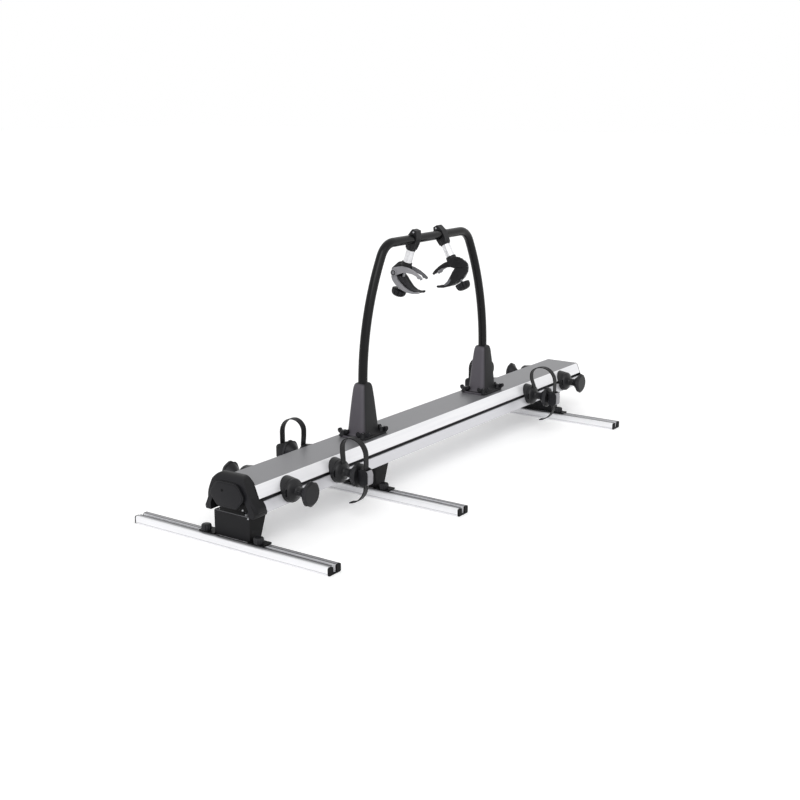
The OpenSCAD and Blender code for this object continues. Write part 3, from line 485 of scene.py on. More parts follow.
def rail_material(centre: float) -> Material:
    """Bright floor rail whose grooved top has painted light and shade: dark and bright bands along it.

    Args:
        centre: Distance of the rail's middle behind the front rail.

    Returns:
        The material.
    """
    shader = Shader(f"rail_anodised_{round(centre * 1000)}")
    shader.set("Metallic", 0.3)
    shader.soften(0.0005)
    fine = shader.noise((3200, 7, 3200), 3.0)
    top = shader.normal("z").step(0.75, 0.95)
    x = shader.axis("x") - centre
    colour = shader.mix(fine.step(0.3, 0.7), srgb("f6f6f8"), srgb("ececef"))
    # Painted light and shade: bright and dark bands across the grooved top.
    for low, high, tone in RAIL_LIGHT_SHADE_BANDS:
        colour = shader.mix(top * x.between(low, high, 0.0004), colour, srgb(tone))
    lip = shader.axis("z").between(0.0046, 0.0054, 0.0002) * (shader.normal("x").abs() > 0.8)
    shader.set("Base Color", shader.mix(lip, colour, srgb("9c9ca0")))
    shader.set("Roughness", fine * 0.14 + 0.24)
    shader.bump(x.wave(0.0024) * top + fine * 0.1, 0.0002)
    return shader.material


# Mesh helpers


def deselect() -> None:
    """Leaves edit mode and clears the selection."""
    if bpy.context.object and bpy.context.object.mode != "OBJECT":
        bpy.ops.object.mode_set(mode="OBJECT")
    bpy.ops.object.select_all(action="DESELECT")


def activate(obj: Piece) -> None:
    """Makes obj the one selected and active object."""
    deselect()
    obj.select_set(True)
    bpy.context.view_layer.objects.active = obj


def edit_all() -> None:
    """Enters edit mode with everything selected."""
    bpy.ops.object.mode_set(mode="EDIT")
    bpy.ops.mesh.select_all(action="SELECT")


def extrude(move: Point) -> None:
    """Extrudes what is selected by a move."""
    bpy.ops.mesh.extrude_region_move(TRANSFORM_OT_translate={"value": move})


def apply_place(obj: Piece, place: Matrix) -> None:
    """Moves obj by a matrix and puts the move into its mesh."""
    activate(obj)
    obj.matrix_world = place
    bpy.context.view_layer.update()
    bpy.ops.object.transform_apply(location=True, rotation=True, scale=True)


def finish_mesh(
    obj: Piece,
    material: Material,
    bevel: float = 0.0,
    segments: int = 2,
    smooth: float = 35.0,
) -> Piece:
    """Rounds a closed mesh's edges, smooths its curved faces and gives it a material.

    Args:
        obj: The mesh.
        material: Its material.
        bevel: Width of the rounded edges, or 0.
        segments: Steps in each rounded edge.
        smooth: Largest angle between faces that are shaded as one surface, in degrees.

    Returns:
        The same object.
    """
    activate(obj)
    edit_all()
    bpy.ops.mesh.remove_doubles(threshold=1e-6)
    bpy.ops.mesh.normals_make_consistent(inside=False)
    bpy.ops.object.mode_set(mode="OBJECT")
    if bevel:
        modifier = obj.modifiers.new("rounding", "BEVEL")
        modifier.width = bevel
        modifier.segments = segments
        modifier.limit_method = "ANGLE"
        modifier.angle_limit = math.radians(30)
        bpy.ops.object.modifier_apply(modifier=modifier.name)
    bpy.ops.object.shade_smooth_by_angle(angle=math.radians(smooth))
    obj.data.materials.clear()
    obj.data.materials.append(material)
    return obj


def join(objects: Sequence[Piece], name: str) -> Piece:
    """Makes several meshes one object of that name."""
    deselect()
    for obj in objects:
        obj.select_set(True)
    bpy.context.view_layer.objects.active = objects[0]
    if len(objects) > 1:
        bpy.ops.object.join()
    bpy.context.object.name = name
    return bpy.context.object


def rounded(outline: Sequence[Point], steps: int = 5) -> list[Flat]:
    """A closed outline whose corners are rounded to the radius in their third number.

    Args:
        outline: Corners in order in millimetres, each with its radius.
        steps: Points round each corner.

    Returns:
        The points of the rounded outline, in metres.
    """
    points: list[Flat] = []
    corners = [(x / 1000, y / 1000, r / 1000) for x, y, r in outline]
    for i, (x, y, r) in enumerate(corners):
        p = Vector((x, y))
        if r <= 0:
            points.append((x, y))
            continue
        u = (Vector(corners[i - 1][:2]) - p).normalized()
        v = (Vector(corners[(i + 1) % len(corners)][:2]) - p).normalized()
        half = u.angle(v) / 2
        centre = p + (u + v).normalized() * r / math.sin(half)
        start = p + u * r / math.tan(half) - centre
        end = p + v * r / math.tan(half) - centre
        a0 = math.atan2(start.y, start.x)
        turn = (math.atan2(end.y, end.x) - a0 + math.pi) % (2 * math.pi) - math.pi
        for k in range(steps + 1):
            a = a0 + turn * k / steps
            points.append((centre.x + r * math.cos(a), centre.y + r * math.sin(a)))
    return points


def both_sides(half: Sequence[Point]) -> list[Point]:
    """An outline that repeats its right half on the left."""
    return list(half) + [(-x, y, r) for x, y, r in reversed(half)]


def start_plate(name: str, size: Flat, centre: Point) -> Piece:
    """A flat rectangle in its place, in edit mode and selected all over."""
    deselect()
    bpy.ops.mesh.primitive_plane_add(size=1.0, location=(0, 0, 0))
    obj = bpy.context.object
    obj.name = name
    obj.scale = (*size, 1)
    bpy.ops.object.transform_apply(location=False, rotation=False, scale=True)
    obj.location = centre
    bpy.ops.object.transform_apply(location=True, rotation=False, scale=False)
    edit_all()
    return obj


def start_point(name: str) -> Piece:
    """A mesh of one point at the origin, in edit mode with the point selected."""
    deselect()
    bpy.ops.mesh.primitive_plane_add(size=0.001, location=(0, 0, 0))
    obj = bpy.context.object
    obj.name = name
    bpy.ops.object.mode_set(mode="EDIT")
    bpy.ops.mesh.select_mode(type="VERT")
    bpy.ops.mesh.select_all(action="SELECT")
    bpy.ops.mesh.merge(type="CENTER")
    return obj


def trace(points: Sequence[Point]) -> None:
    """Draws edges from the one selected point at the origin through the points."""
    here = Vector((0, 0, 0))
    for i, point in enumerate(points):
        move = tuple(Vector(point) - here)
        if i == 0:
            bpy.ops.transform.translate(value=move)
        else:
            extrude(move)
        here = Vector(point)


def slab(name: str, outline: Sequence[Flat], low: float, high: float, flat: str = "YZ") -> Piece:
    """A solid with one outline all the way through.

    Args:
        name: Its name.
        outline: Points of the outline, in the plane that flat names.
        low: Where it starts along the third axis.
        high: Where it ends.
        flat: YZ, XZ or XY.

    Returns:
        The new object.
    """
    spread: dict[str, Callable[[float, float, float], Point]] = {
        "YZ": lambda a, b, c: (c, a, b),
        "XZ": lambda a, b, c: (a, c, b),
        "XY": lambda a, b, c: (a, b, c),
    }
    at = spread[flat]
    obj = start_point(name)
    trace([at(a, b, low) for a, b in outline])
    bpy.ops.mesh.select_all(action="SELECT")
    bpy.ops.mesh.edge_face_add()
    rise = Vector(at(0, 0, high)) - Vector(at(0, 0, low))
    bpy.ops.mesh.select_all(action="SELECT")
    extrude(tuple(rise))
    bpy.ops.object.mode_set(mode="OBJECT")
    return obj


def turned(name: str, profile: Sequence[Flat], steps: int = 48) -> Piece:
    """A body of revolution about Z, spun from its profile of radius and height.

    Args:
        name: Its name.
        profile: Radius and height of each point, from the axis round to the axis.
        steps: Steps in the full turn.

    Returns:
        The new object.
    """
    obj = start_point(name)
    ring = list(profile) if profile[0][0] < 1e-6 else [*profile, profile[0]]
    trace([(r, 0, z) for r, z in ring])
    bpy.ops.mesh.select_all(action="SELECT")
    bpy.ops.mesh.spin(steps=steps, angle=2 * math.pi, center=(0, 0, 0), axis=(0, 0, 1))
    bpy.ops.mesh.select_all(action="SELECT")
    bpy.ops.mesh.remove_doubles(threshold=1e-6)
    bpy.ops.object.mode_set(mode="OBJECT")
    return obj


def fluted(
    name: str, radius: float, depth: float, flutes: int, base: float, steps: Sequence[Flat]
) -> Piece:
    """A round knob about Z with flutes down its side.

    Args:
        name: Its name.
        radius: Largest radius.
        depth: Depth of the flutes.
        flutes: How many there are.
        base: Height of its lower face.
        steps: Rise and share of the full radius of each level; the first stands at the base.

    Returns:
        The new object.
    """
    count = flutes * 8
    turns = [2 * math.pi * i / count for i in range(count)]
    cut = [radius - depth * max(0.0, math.cos(flutes * a)) ** 2 for a in turns]
    scale = steps[0][1]
    knob = start_point(name)
    trace([(scale * r * math.cos(a), scale * r * math.sin(a), base) for a, r in zip(turns, cut)])
    bpy.ops.mesh.select_all(action="SELECT")
    bpy.ops.mesh.edge_face_add()
    bpy.ops.mesh.select_all(action="SELECT")
    for rise, new in steps[1:]:
        extrude((0, 0, rise))
        bpy.ops.transform.resize(value=(new / scale, new / scale, 1), center_override=(0, 0, 0))
        scale = new
    bpy.ops.object.mode_set(mode="OBJECT")
    return knob


def ride_as(obj: Piece, body: str, slot: str, *nodes: str) -> None:
    """Ties a finished piece to its body and hides the nodes that it stands for."""
    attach(obj, body)
    if nodes:
        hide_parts(*nodes)
    log.info("%s", obj.name)


def named(start: str, end: str = "") -> list[str]:
    """Names of the CAD nodes that start and end so."""
    return [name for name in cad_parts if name.startswith(start) and name.endswith(end)]


def dress(nodes: Iterable[str], material: Material) -> None:
    """Gives CAD nodes one material.

    Args:
        nodes: Names of the nodes.
        material: The material that fills all of their slots.
    """
    for name in nodes:
        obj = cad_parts[name]
        if not obj.data.materials:
            obj.data.materials.append(material)
        for place in obj.material_slots:
            place.material = material


# Towers


@dataclass(frozen=True)
class Tower:
    """One plastic tower that holds a leg of the hoop.

    Attributes:
        name: front or rear.
        x: Distance behind the middle of the front rail.
        levels: Height, length and width of the shell, from its foot up.
        corner: Radius of the shell's upright corners.
        foot: Outline of the base plate.
        foot_height: Thickness of the base plate.
    """

    name: str
    x: float
    levels: tuple[Point, ...] = (
        (0.0040, 0.094, 0.072),
        (0.0062, 0.090, 0.068),
        (0.0080, 0.084, 0.063),
        (0.0120, 0.0805, 0.0600),
        (0.0200, 0.0765, 0.0570),
        (0.0600, 0.0670, 0.0510),
        (0.1000, 0.0568, 0.0440),
        (0.1240, 0.0492, 0.0392),
        (0.1320, 0.0455, 0.0372),
        (0.1380, 0.0395, 0.0340),
        (0.1412, 0.0320, 0.0295),
        (0.1420, 0.0240, 0.0230),
    )
    corner: float = 0.020
    foot: Corners = ((-54, -42, 11), (54, -42, 11), (54, 42, 11), (-54, 42, 11))
    foot_height: float = 0.0060

    def body(self) -> Piece:
        """The tapered shell, drawn up level by level from a rounded plate."""
        low, length, width = self.levels[0]
        obj = start_plate(f"tower_shell_{self.name}", (length, width), (0, 0, low))
        bpy.ops.mesh.bevel(offset=self.corner, segments=7, affect="VERTICES")
        bpy.ops.mesh.select_all(action="SELECT")
        for (z0, l0, w0), (z1, l1, w1) in zip(self.levels, self.levels[1:]):
            extrude((0, 0, z1 - z0))
            bpy.ops.transform.resize(value=(l1 / l0, w1 / w0, 1), center_override=(0, 0, z1))
        bpy.ops.object.mode_set(mode="OBJECT")
        return obj

    def plate(self) -> Piece:
        """The base plate with rounded corners."""
        return slab(f"tower_plate_{self.name}", rounded(self.foot, 6), 0.0, self.foot_height, "XY")

    def build(self, material: Material) -> None:
        """Makes the tower in its place."""
        shell = finish_mesh(self.body(), material, smooth=60)
        plate = finish_mesh(self.plate(), material, bevel=0.0014, segments=3)
        tower = join([shell, plate], f"tower_{self.name}_shell")
        apply_place(tower, Matrix.Translation((self.x, 0, Beam().top)))
        ride_as(tower, "beam", "moulding", f"tower_{self.name}")


@dataclass(frozen=True)
class WingScrews:
    """The eight wing screws that hold the towers down.

    Attributes:
        hub: Radius and height along the head's hub.
        wing: Outline of the right wing.
        half_wing: Half the thickness of a wing before the head is stretched.
        stretch: How much the head is stretched along each axis.
        bolt: Radius and height along the bright bolt.
        reach: Distance of a screw from the tower's middle along and across the beam.
        angles: Turn of the wings from the beam, in degrees, on one diagonal and on the other.
        angle_step: By how many degrees one screw is turned further than the next.
    """

    hub: Profile = (
        (0, -0.002), (0.0072, -0.002), (0.0072, 0.0010), (0.0058, 0.0024), (0.0052, 0.0080),
        (0.0044, 0.0092), (0, 0.0092),
    )
    wing: Corners = (
        (3, 1, 0), (11, 1.8, 3), (15.2, 5, 3), (15, 10, 3), (11.2, 12.5, 3), (6.8, 8.5, 3), (3, 8, 0),
    )
    half_wing: float = 0.0022
    stretch: Point = (1.25, 2.0, 1.3)
    bolt: Profile = ((0, -0.012), (0.0030, -0.012), (0.0030, 0.0114), (0.0022, 0.0120), (0, 0.0120))
    reach: Flat = (0.044, 0.032)
    angles: Flat = (62, 82)
    angle_step: float = 4

    def head(self) -> Piece:
        """A hub with two lobed wings."""
        hub = turned("wing_hub", self.hub, 28)
        lobe = rounded(self.wing, 4)
        right = slab("wing_right", lobe, -self.half_wing, self.half_wing, "XZ")
        left = slab("wing_left", [(-a, b) for a, b in lobe], -self.half_wing, self.half_wing, "XZ")
        head = join([hub, left, right], "wing_head")
        head.data.transform(Matrix.Diagonal((*self.stretch, 1.0)))
        return head

    def places(self) -> list[Matrix]:
        """Place and turn of every screw.

        Returns:
            One matrix for each, with its wings across its corner so that neither reaches the tower.
        """
        found = []
        for _, x in TOWERS:
            for sx, sy in ((-1, -1), (-1, 1), (1, -1), (1, 1)):
                turn = math.radians(self.angles[0 if sx == sy else 1] - self.angle_step * (len(found) % 3))
                across = math.atan2(-sy * math.sin(turn), sx * math.cos(turn))
                spot = (x + sx * self.reach[0], sy * self.reach[1], Beam().top + Tower.foot_height)
                found.append(Matrix.Translation(spot) @ Matrix.Rotation(across, 4, "Z"))
        return found

    def build(self, black: Material, bright: Material) -> None:
        """Makes all the screws.

        Args:
            black: Finish of the heads.
            bright: Finish of the bolts.
        """
        head = finish_mesh(self.head(), black, bevel=0.0007, segments=2)
        bolt = finish_mesh(turned("screw_tip", self.bolt, 20), bright)
        heads = self.copies(head)
        bolts = self.copies(bolt)
        ride_as(join(heads, "wing_screw_heads"), "beam", "moulding", "wing_screws")
        ride_as(join(bolts, "wing_screw_bolts"), "beam", "screws")

    def copies(self, source: Piece) -> list[Piece]:
        """A copy of the source, with its own mesh, at every place. The source goes."""
        made = []
        for place in self.places():
            copy = source.copy()
            copy.data = source.data.copy()
            bpy.context.scene.collection.objects.link(copy)
            copy.data.transform(place)
            made.append(copy)
        bpy.data.objects.remove(source)
        return made


# Front end


@dataclass(frozen=True)
class FrontEnd:
    """The end plate of the fixed profile, the release lever's shield and the rail knobs.

    Attributes:
        end_plate: Right half of the end plate, with its notch for the lever's hook.
        plate_reach: Front and back of the end plate.
        screws: Place of each screw head across and up the end plate.
        bracket_screw: The same for the one on the bracket.
        screw: Radius and height along a screw head.
        shield: Right half of the lever's shield.
        panel: Right half of its raised panel.
        skirt: One lower edge of the nose cap, across and up.
        skirt_reach: Front and back of the skirts.
        eye: Place of the black disc painted as the shade in the small hole in the panel.
        hook_half: Half the width of the lever's hook.
        knob_y: Distance of the rail knobs from the middle.
        knob: Rise and share of the radius at each level of a rail knob.
    """

    end_plate: Corners = (
        (38.5, 81.2, 1), (38.5, 90.8, 0.4), (47.4, 92.2, 0.8), (47.4, 124, 6), (40, 132.2, 3),
        (9.2, 132.2, 0.6), (9.2, 125.6, 0.6),
    )
    plate_reach: Flat = (0.0012, 0.0040)
    screws: Profile = ((0.0430, 0.0985), (0.0330, 0.0930), (-0.0190, 0.1005), (-0.0345, 0.0945))
    bracket_screw: Flat = (-0.0515, 0.0772)
    screw: Profile = ((0, 0), (0.0024, 0), (0.0024, 0.0010), (0.0016, 0.0020), (0, 0.0022))
    shield: Corners = (
        (30, 98.5, 16), (54.5, 127, 14), (33, 160, 26),
    )
    panel: Corners = (
        (28.5, 101.2, 14.5), (51.5, 127.4, 12.5), (31.5, 157.4, 24),
    )
    skirt: Corners = (
        (58, 81.5, 1), (74.5, 81.5, 3), (76.6, 90, 4), (61, 124, 2),
    )
    skirt_reach: Flat = (-0.0070, 0.0396)
    eye: Point = (-0.0174, 0.0120, 0.1400)
    hook_half: float = 0.007
    knob_y: float = 0.082
    knob: Profile = (
        (0, 0.80), (0.0008, 0.80), (0.0012, 0.80), (0.0002, 0.96), (0.0010, 1.0), (0.0086, 0.99),
        (0.0024, 0.93), (0.0014, 0.82), (0.0006, 0.66),
    )

    def make_plate(self, black: Material, bright: Material) -> None:
        """Makes the black plate that closes the fixed profile and its screw heads."""
        plate = slab("fixed_end_plate", rounded(both_sides(self.end_plate), 4), *self.plate_reach)
        ride_as(finish_mesh(plate, black, 0.0004, 2), "frame", "moulding")
        spots = [(0.0013, *spot) for spot in self.screws] + [(-0.0001, *self.bracket_screw)]
        heads = []
        for i, spot in enumerate(spots):
            head = turned(f"head_{i}", self.screw, 20)
            head.data.transform(Matrix.Translation(spot) @ Matrix.Rotation(-math.pi / 2, 4, "Y"))
            heads.append(head)
        ride_as(finish_mesh(join(heads, "end_plate_screws"), bright), "frame", "screws")

    def make_skirts(self, black: Material) -> None:
        """Makes the lower edges of the nose cap, which reach down beside the bracket."""
        outline = rounded(self.skirt, 6)
        sides = [slab("skirt", [(s * y, z) for y, z in outline], *self.skirt_reach) for s in (-1, 1)]
        ride_as(finish_mesh(join(sides, "nose_cap_skirts"), black, 0.0012, 3), "beam", "moulding")

    def bar(self, name: str, low: float, high: float, front: float, back: float) -> Piece:
        """A square bar of the lever's hook, between two heights and from front to back."""
        half = self.hook_half
        return slab(name, [(-half, low), (half, low), (half, high), (-half, high)], front, back)

    def make_shield(self, black: Material, dark: Material) -> None:
        """Makes the lever's soft shield with its raised panel, and a black disc painted as the shade in its
        small hole.
        """
        base = slab("base", rounded(both_sides(self.shield), 8), -0.0160, -0.0087)
        panel = slab("panel", rounded(both_sides(self.panel), 8), -0.0174, -0.0155)
        parts = [
            finish_mesh(base, black, 0.0012, 3),
            finish_mesh(panel, black, 0.0016, 4),
            finish_mesh(self.bar("hook", 0.1347, 0.1397, -0.0100, 0.0120), black),
            finish_mesh(self.bar("catch", 0.1347, 0.1427, 0.0120, 0.0200), black),
        ]
        ride_as(join(parts, "release_lever_shield"), "lever", "moulding", "release_lever")
        # Painted shade: a thin black disc stands in for the dark inside of the small hole.
        eye = turned("release_lever_eye", [(0, 0), (0.0036, 0), (0.0036, 0.0003), (0, 0.0003)], 24)
        eye.data.transform(Matrix.Translation(self.eye) @ Matrix.Rotation(-math.pi / 2, 4, "Y"))
        ride_as(finish_mesh(eye, dark), "lever", "moulding")

    def make_knobs(self, black: Material) -> None:
        """Makes the six fluted knobs of the floor rails."""
        for rail, x in RAILS:
            for word, side in (("near", -1), ("far", 1)):
                name = f"rail_knob_{rail}_{word}"
                knob = fluted(f"{name}_grip", 0.0125, 0.0016, 10, 0.0234, self.knob)
                knob = finish_mesh(knob, black, 0, 1, smooth=50)
                apply_place(knob, Matrix.Translation((x, side * self.knob_y, 0)))
                ride_as(knob, name, "moulding", name)

    def build(self, black: Material, knob: Material, dark: Material, bright: Material) -> None:
        """Makes all of it.

        Args:
            black: Finish of the skirts and the shield.
            knob: Finish of the knobs.
            dark: Finish of the end plate and of the black disc painted as the hole's shade.
            bright: Finish of the screw heads.
        """
        self.make_plate(dark, bright)
        self.make_skirts(black)
        self.make_shield(black, dark)
        self.make_knobs(knob)


# Buckles


@dataclass(frozen=True)
class Buckle:
    """The ratchet buckle on a strap: a housing, a pressing plate and a release tab.

    Attributes:
        place: The chock that it belongs to.
        cheek: Outline of each side plate, out from the beam's middle and up from its slot.
        back: Outline of the back between them.
        bridge: Outline of the bridge between them.
        lever: Outline of the pressing plate.
        cheek_in: Inner side of a side plate, from the buckle's middle.
        cheek_out: Outer side of a side plate.
        boss: Radius and height along the boss that faces the cone.
        pin: Radius and height along the pin.
    """

    place: ChockPlace
    cheek: Corners = (
        (145.5, -16.5, 3), (150, -22.5, 4), (163, -22.5, 5), (171.5, -15.5, 6), (171.5, 12.5, 8),
        (165.5, 18.5, 3), (153.5, 22, 3), (145.5, 16, 3),
    )
    back: Corners = (
        (145.5, -16.5, 2), (150, -22.5, 3), (157.8, -22.5, 1), (157.8, 20, 1), (153.5, 21, 2),
        (145.5, 16, 3),
    )
    bridge: Corners = (
        (162.2, -12, 1), (167, -18, 2), (169, -14, 2), (169, -4, 1), (162.2, 2, 1),
    )
    lever: Corners = (
        (162.2, 8.5, 2), (166, 17.5, 3), (170.6, 15, 4), (174.2, 6, 8), (173.6, -13, 3),
        (171.2, -20.5, 2), (169.4, -19, 1), (170.4, -6, 4),
    )
    cheek_in: float = 0.0094
    cheek_out: float = 0.0135
    boss: Profile = ((0, 0), (0.0092, 0), (0.0092, 0.0040), (0.0102, 0.0056), (0, 0.0056))
    pin: Profile = (
        (0, -0.0142), (0.0030, -0.0142), (0.0034, -0.0136), (0.0034, 0.0136), (0.0030, 0.0142), (0, 0.0142),
    )

    def block(self, name: str, outline: Corners, low: float, high: float) -> Piece:
        """A solid of the buckle, from low to high along the beam."""
        side, slot = self.place.side, Beam().slot
        return slab(name, [(side * out, slot + up) for out, up in rounded(outline, 5)], low, high)

    def build(self, black: Material, grey: Material) -> None:
        """Makes the buckle in its place.

        Args:
            black: Finish of the housing.
            grey: Finish of the pressing plate.
        """
        name, side, slot = self.place.name, self.place.side, Beam().slot
        boss = turned("boss", self.boss, 32)
        pin = turned("pin", self.pin, 20)
        spot = Matrix.Translation((0, side * 0.1412, slot))
        boss.data.transform(spot @ Matrix.Rotation(-side * math.pi / 2, 4, "X"))
        spot = Matrix.Translation((0, side * 0.1642, slot + 0.0100))
        pin.data.transform(spot @ Matrix.Rotation(math.pi / 2, 4, "Y"))
        parts = [
            self.block("cheek_a", self.cheek, self.cheek_in, self.cheek_out),
            self.block("cheek_b", self.cheek, -self.cheek_out, -self.cheek_in),
            self.block("back", self.back, -0.0096, 0.0096),
            self.block("bridge", self.bridge, -0.0096, 0.0096),
            boss,
            pin,
        ]
        housing = finish_mesh(join(parts, f"buckle_{name}_housing"), black, bevel=0.0008, segments=2)
        plate = self.block(f"buckle_{name}_lever", self.lever, -0.0100, 0.0100)
        plate = finish_mesh(plate, grey, bevel=0.0010, segments=3)
        for obj in (housing, plate):
            apply_place(obj, Matrix.Translation((self.place.x, 0, 0)))
        ride_as(housing, f"chock_{name}", "moulding", f"buckle_{name}")
        ride_as(plate, f"chock_{name}", "moulding")


# Frame clamps


@dataclass(frozen=True)
class Clamp:
    """One frame clamp: its jaws, their covers, the pivot, the screw and the knob.

    Jaw outlines run from the pivot towards the tips along the first number.

    Attributes:
        place: Where it hangs.
        liner: Finish of the grey inner plate and lip strip, a painted highlight where the jaws catch the
            light.
        near: Inner side of the jaws' plates, from the middle of the clamp.
        far: Their outer side.
        top: Upper jaw.
        hump: Block between the upper jaw's plates.
        low: Lower jaw.
        crescent: Grey cover of the lower jaw.
        scoop: Pad between the lower jaw's plates.
        upper_housing: Black housing on the side of the upper jaw.
        lower_housing: The same on the lower jaw.
        lip: Grey strip along the inner edge of the lower jaw, a painted highlight where the cradle catches
            the light.
        collar_half: Right half of the collar, seen along the hoop.
        ring: Radius and height along the dark ring at the pin.
        socket: Radius and height along the socket that holds the arm.
        neck: Radius and height along the collar's neck.
        bolt: Radius and height along the pinch bolt.
        knob: Rise and share of the radius at each level of the knob.
    """

    place: ClampPlace
    liner: Material
    near: float = 0.0095
    far: float = 0.0170
    top: Corners = (
        (-9, 6, 3), (-4, 14, 4), (11, 17.2, 6), (29, 19.6, 8), (47, 15.8, 12), (66, 7.8, 14),
        (81, -1.4, 12), (91.2, -9.8, 1.8), (89, -14, 1.2), (86.2, -14.6, 1), (85.6, -10.6, 1),
        (83.2, -9.8, 0.8), (81.2, -12.4, 1), (78.4, -11.2, 1.5), (74, -5.2, 4), (60, 0, 10),
        (43, 2, 12), (28, 1.4, 8), (12, -4.5, 4), (6, -8, 2), (-5, -8, 3),
    )
    hump: Corners = (
        (-8, 6, 3), (-5.5, 13.5, 3), (1.2, 20.8, 4), (14.6, 26.2, 4), (24.6, 22.6, 4),
        (36, 19, 3), (43, 15, 2), (40, 4, 2), (16, 0, 3), (6, 4, 2),
    )
    low: Corners = (
        (-8, 0, 3), (-9.2, -13, 5), (-4.8, -22.5, 6), (5, -33.5, 8), (21, -44.3, 12),
        (41, -51.8, 14), (61, -53.8, 14), (80, -52, 1.4), (83.4, -48.2, 1.2), (81.2, -45.2, 1.2),
        (70, -47, 8), (57, -44.5, 8), (44, -36.2, 10), (32.5, -22.8, 10), (22.5, -10.8, 6),
        (15, -4.5, 3), (8, -1, 2),
    )
    crescent: Corners = (
        (-8.8, -6, 2), (-9, -13, 4), (-5, -22.2, 6), (4, -32.8, 8), (20.5, -44.1, 12),
        (40.5, -51.7, 14), (60.5, -53.9, 14), (80, -52.1, 1.2), (83.2, -48.4, 1),
        (79, -47.4, 1.2), (66.3, -49.2, 8), (50, -46.6, 10), (33.2, -38.4, 12),
        (19.8, -27.6, 10), (9.8, -18, 6), (6.2, -8.5, 2),
    )
    scoop: Corners = (
        (-6, -8.5, 2), (-7.6, -13.5, 4), (-3.6, -21.5, 6), (5.8, -32.2, 8), (21.4, -43.1, 12),
        (41.2, -50.6, 14), (61, -52.6, 14), (79.5, -51, 1.2), (82.2, -48.2, 1), (80.6, -45.9, 1),
        (70, -47.6, 8), (57, -45.1, 8), (44, -36.8, 10), (32.5, -23.4, 10), (22.5, -11.4, 6),
        (14, -7.5, 3), (7, -10, 1),
    )
    upper_housing: Corners = (
        (-31, -2, 2), (-30.6, 7.6, 3), (-19, 17, 3), (-7.3, 26.2, 3), (8.6, 30, 3),
        (33, 22.3, 3), (36, 12, 3), (18, 2, 5), (10, -2, 2),
    )
    lower_housing: Corners = (
        (-30.5, -2.6, 1), (-26.7, -17, 3), (-15.2, -27, 3), (-4.2, -34.4, 4), (20.6, -43, 3),
        (33, -30, 4), (22.5, -13, 5), (12, -2.6, 1),
    )
    lip: Corners = (
        (22.5, -11.2, 1), (32.5, -23.2, 6), (44, -36.5, 6), (57, -44.8, 1), (55, -49.2, 1),
        (40, -43.5, 6), (27, -30, 6), (16, -15, 1),
    )
    collar_half: Corners = (
        (11.8, -28.5, 1), (15, -11, 2), (15, 7, 2), (7.2, 26.6, 2),
    )
    ring: Profile = ((0.0046, -0.0206), (0.0066, -0.0206), (0.0066, -0.0190), (0.0046, -0.0190))
    socket: Profile = (
        (0.0121, -0.0800), (0.0138, -0.0800), (0.0146, -0.0790), (0.0146, -0.0690), (0.0138, -0.0672),
        (0.0121, -0.0668),
    )
    neck: Profile = ((0.0121, -0.0318), (0.0142, -0.0318), (0.0142, -0.0180), (0.0121, -0.0180))
    bolt: Profile = ((0, -0.0130), (0.0026, -0.0130), (0.0026, 0.0130), (0, 0.0130))
    knob: Profile = (
        (0, 0.45), (0.0010, 0.62), (0.0020, 0.78), (0.0030, 0.90), (0.0040, 0.97), (0.0050, 1.0),
        (0.0035, 1.0), (0.0010, 0.95), (0.0008, 0.85),
    )

    def arm(self) -> Matrix:
        """Place and turn of the arm, from the middle of the hoop's tube."""
        turn = Matrix.Rotation(math.pi if self.place.turned else 0.0, 4, "Z")
        lean = Matrix.Rotation(math.radians(self.place.lean), 4, "X")
        return Matrix.Translation((self.place.x, 0, HOOP_TOP)) @ turn @ lean

    def jaw(self) -> Matrix:
        """Place and turn of the jaws, from their pin."""
        tilt = Matrix.Rotation(math.radians(-JAW_TILT), 4, "X")
        return self.arm() @ Matrix.Translation((0, *JAW_PIVOT)) @ tilt

    def plate(self, name: str, outline: Corners, low: float, high: float) -> Piece:
        """A plate of the jaws, from low to high across them."""
        return slab(name, [(-a, b) for a, b in rounded(outline, 4)], low, high)

    def disc(self, name: str, radius: float, low: float, high: float) -> Piece:
        """A turned disc on the pivot's axis, with two rings and a socket in its outer face."""
        out = 1 if high > low else -1
        ledge, groove, floor = (high - out * depth for depth in (0.0010, 0.0012, 0.0016))
        steps = [
            (0, low), (radius - 0.0008, low), (radius, low + out * 0.0008), (radius, ledge),
            (radius - 0.0010, high), (0.76 * radius, high), (0.70 * radius, groove),
            (0.56 * radius, groove), (0.50 * radius, high), (0.30 * radius, high),
            (0.28 * radius, floor), (0, floor),
        ]
        obj = turned(name, steps, 40)
        obj.data.transform(Matrix.Rotation(math.pi / 2, 4, "Y"))
        return obj

    def jaws(self, grey: Material, black: Material, rubber: Material) -> None:
        """Makes both jaws.

        Args:
            grey: Finish of the covers.
            black: Finish of the bodies.
            rubber: Finish of the lower jaw's pad.
        """
        self.upper_jaw(grey, black)
        self.lower_jaw(grey, black, rubber)

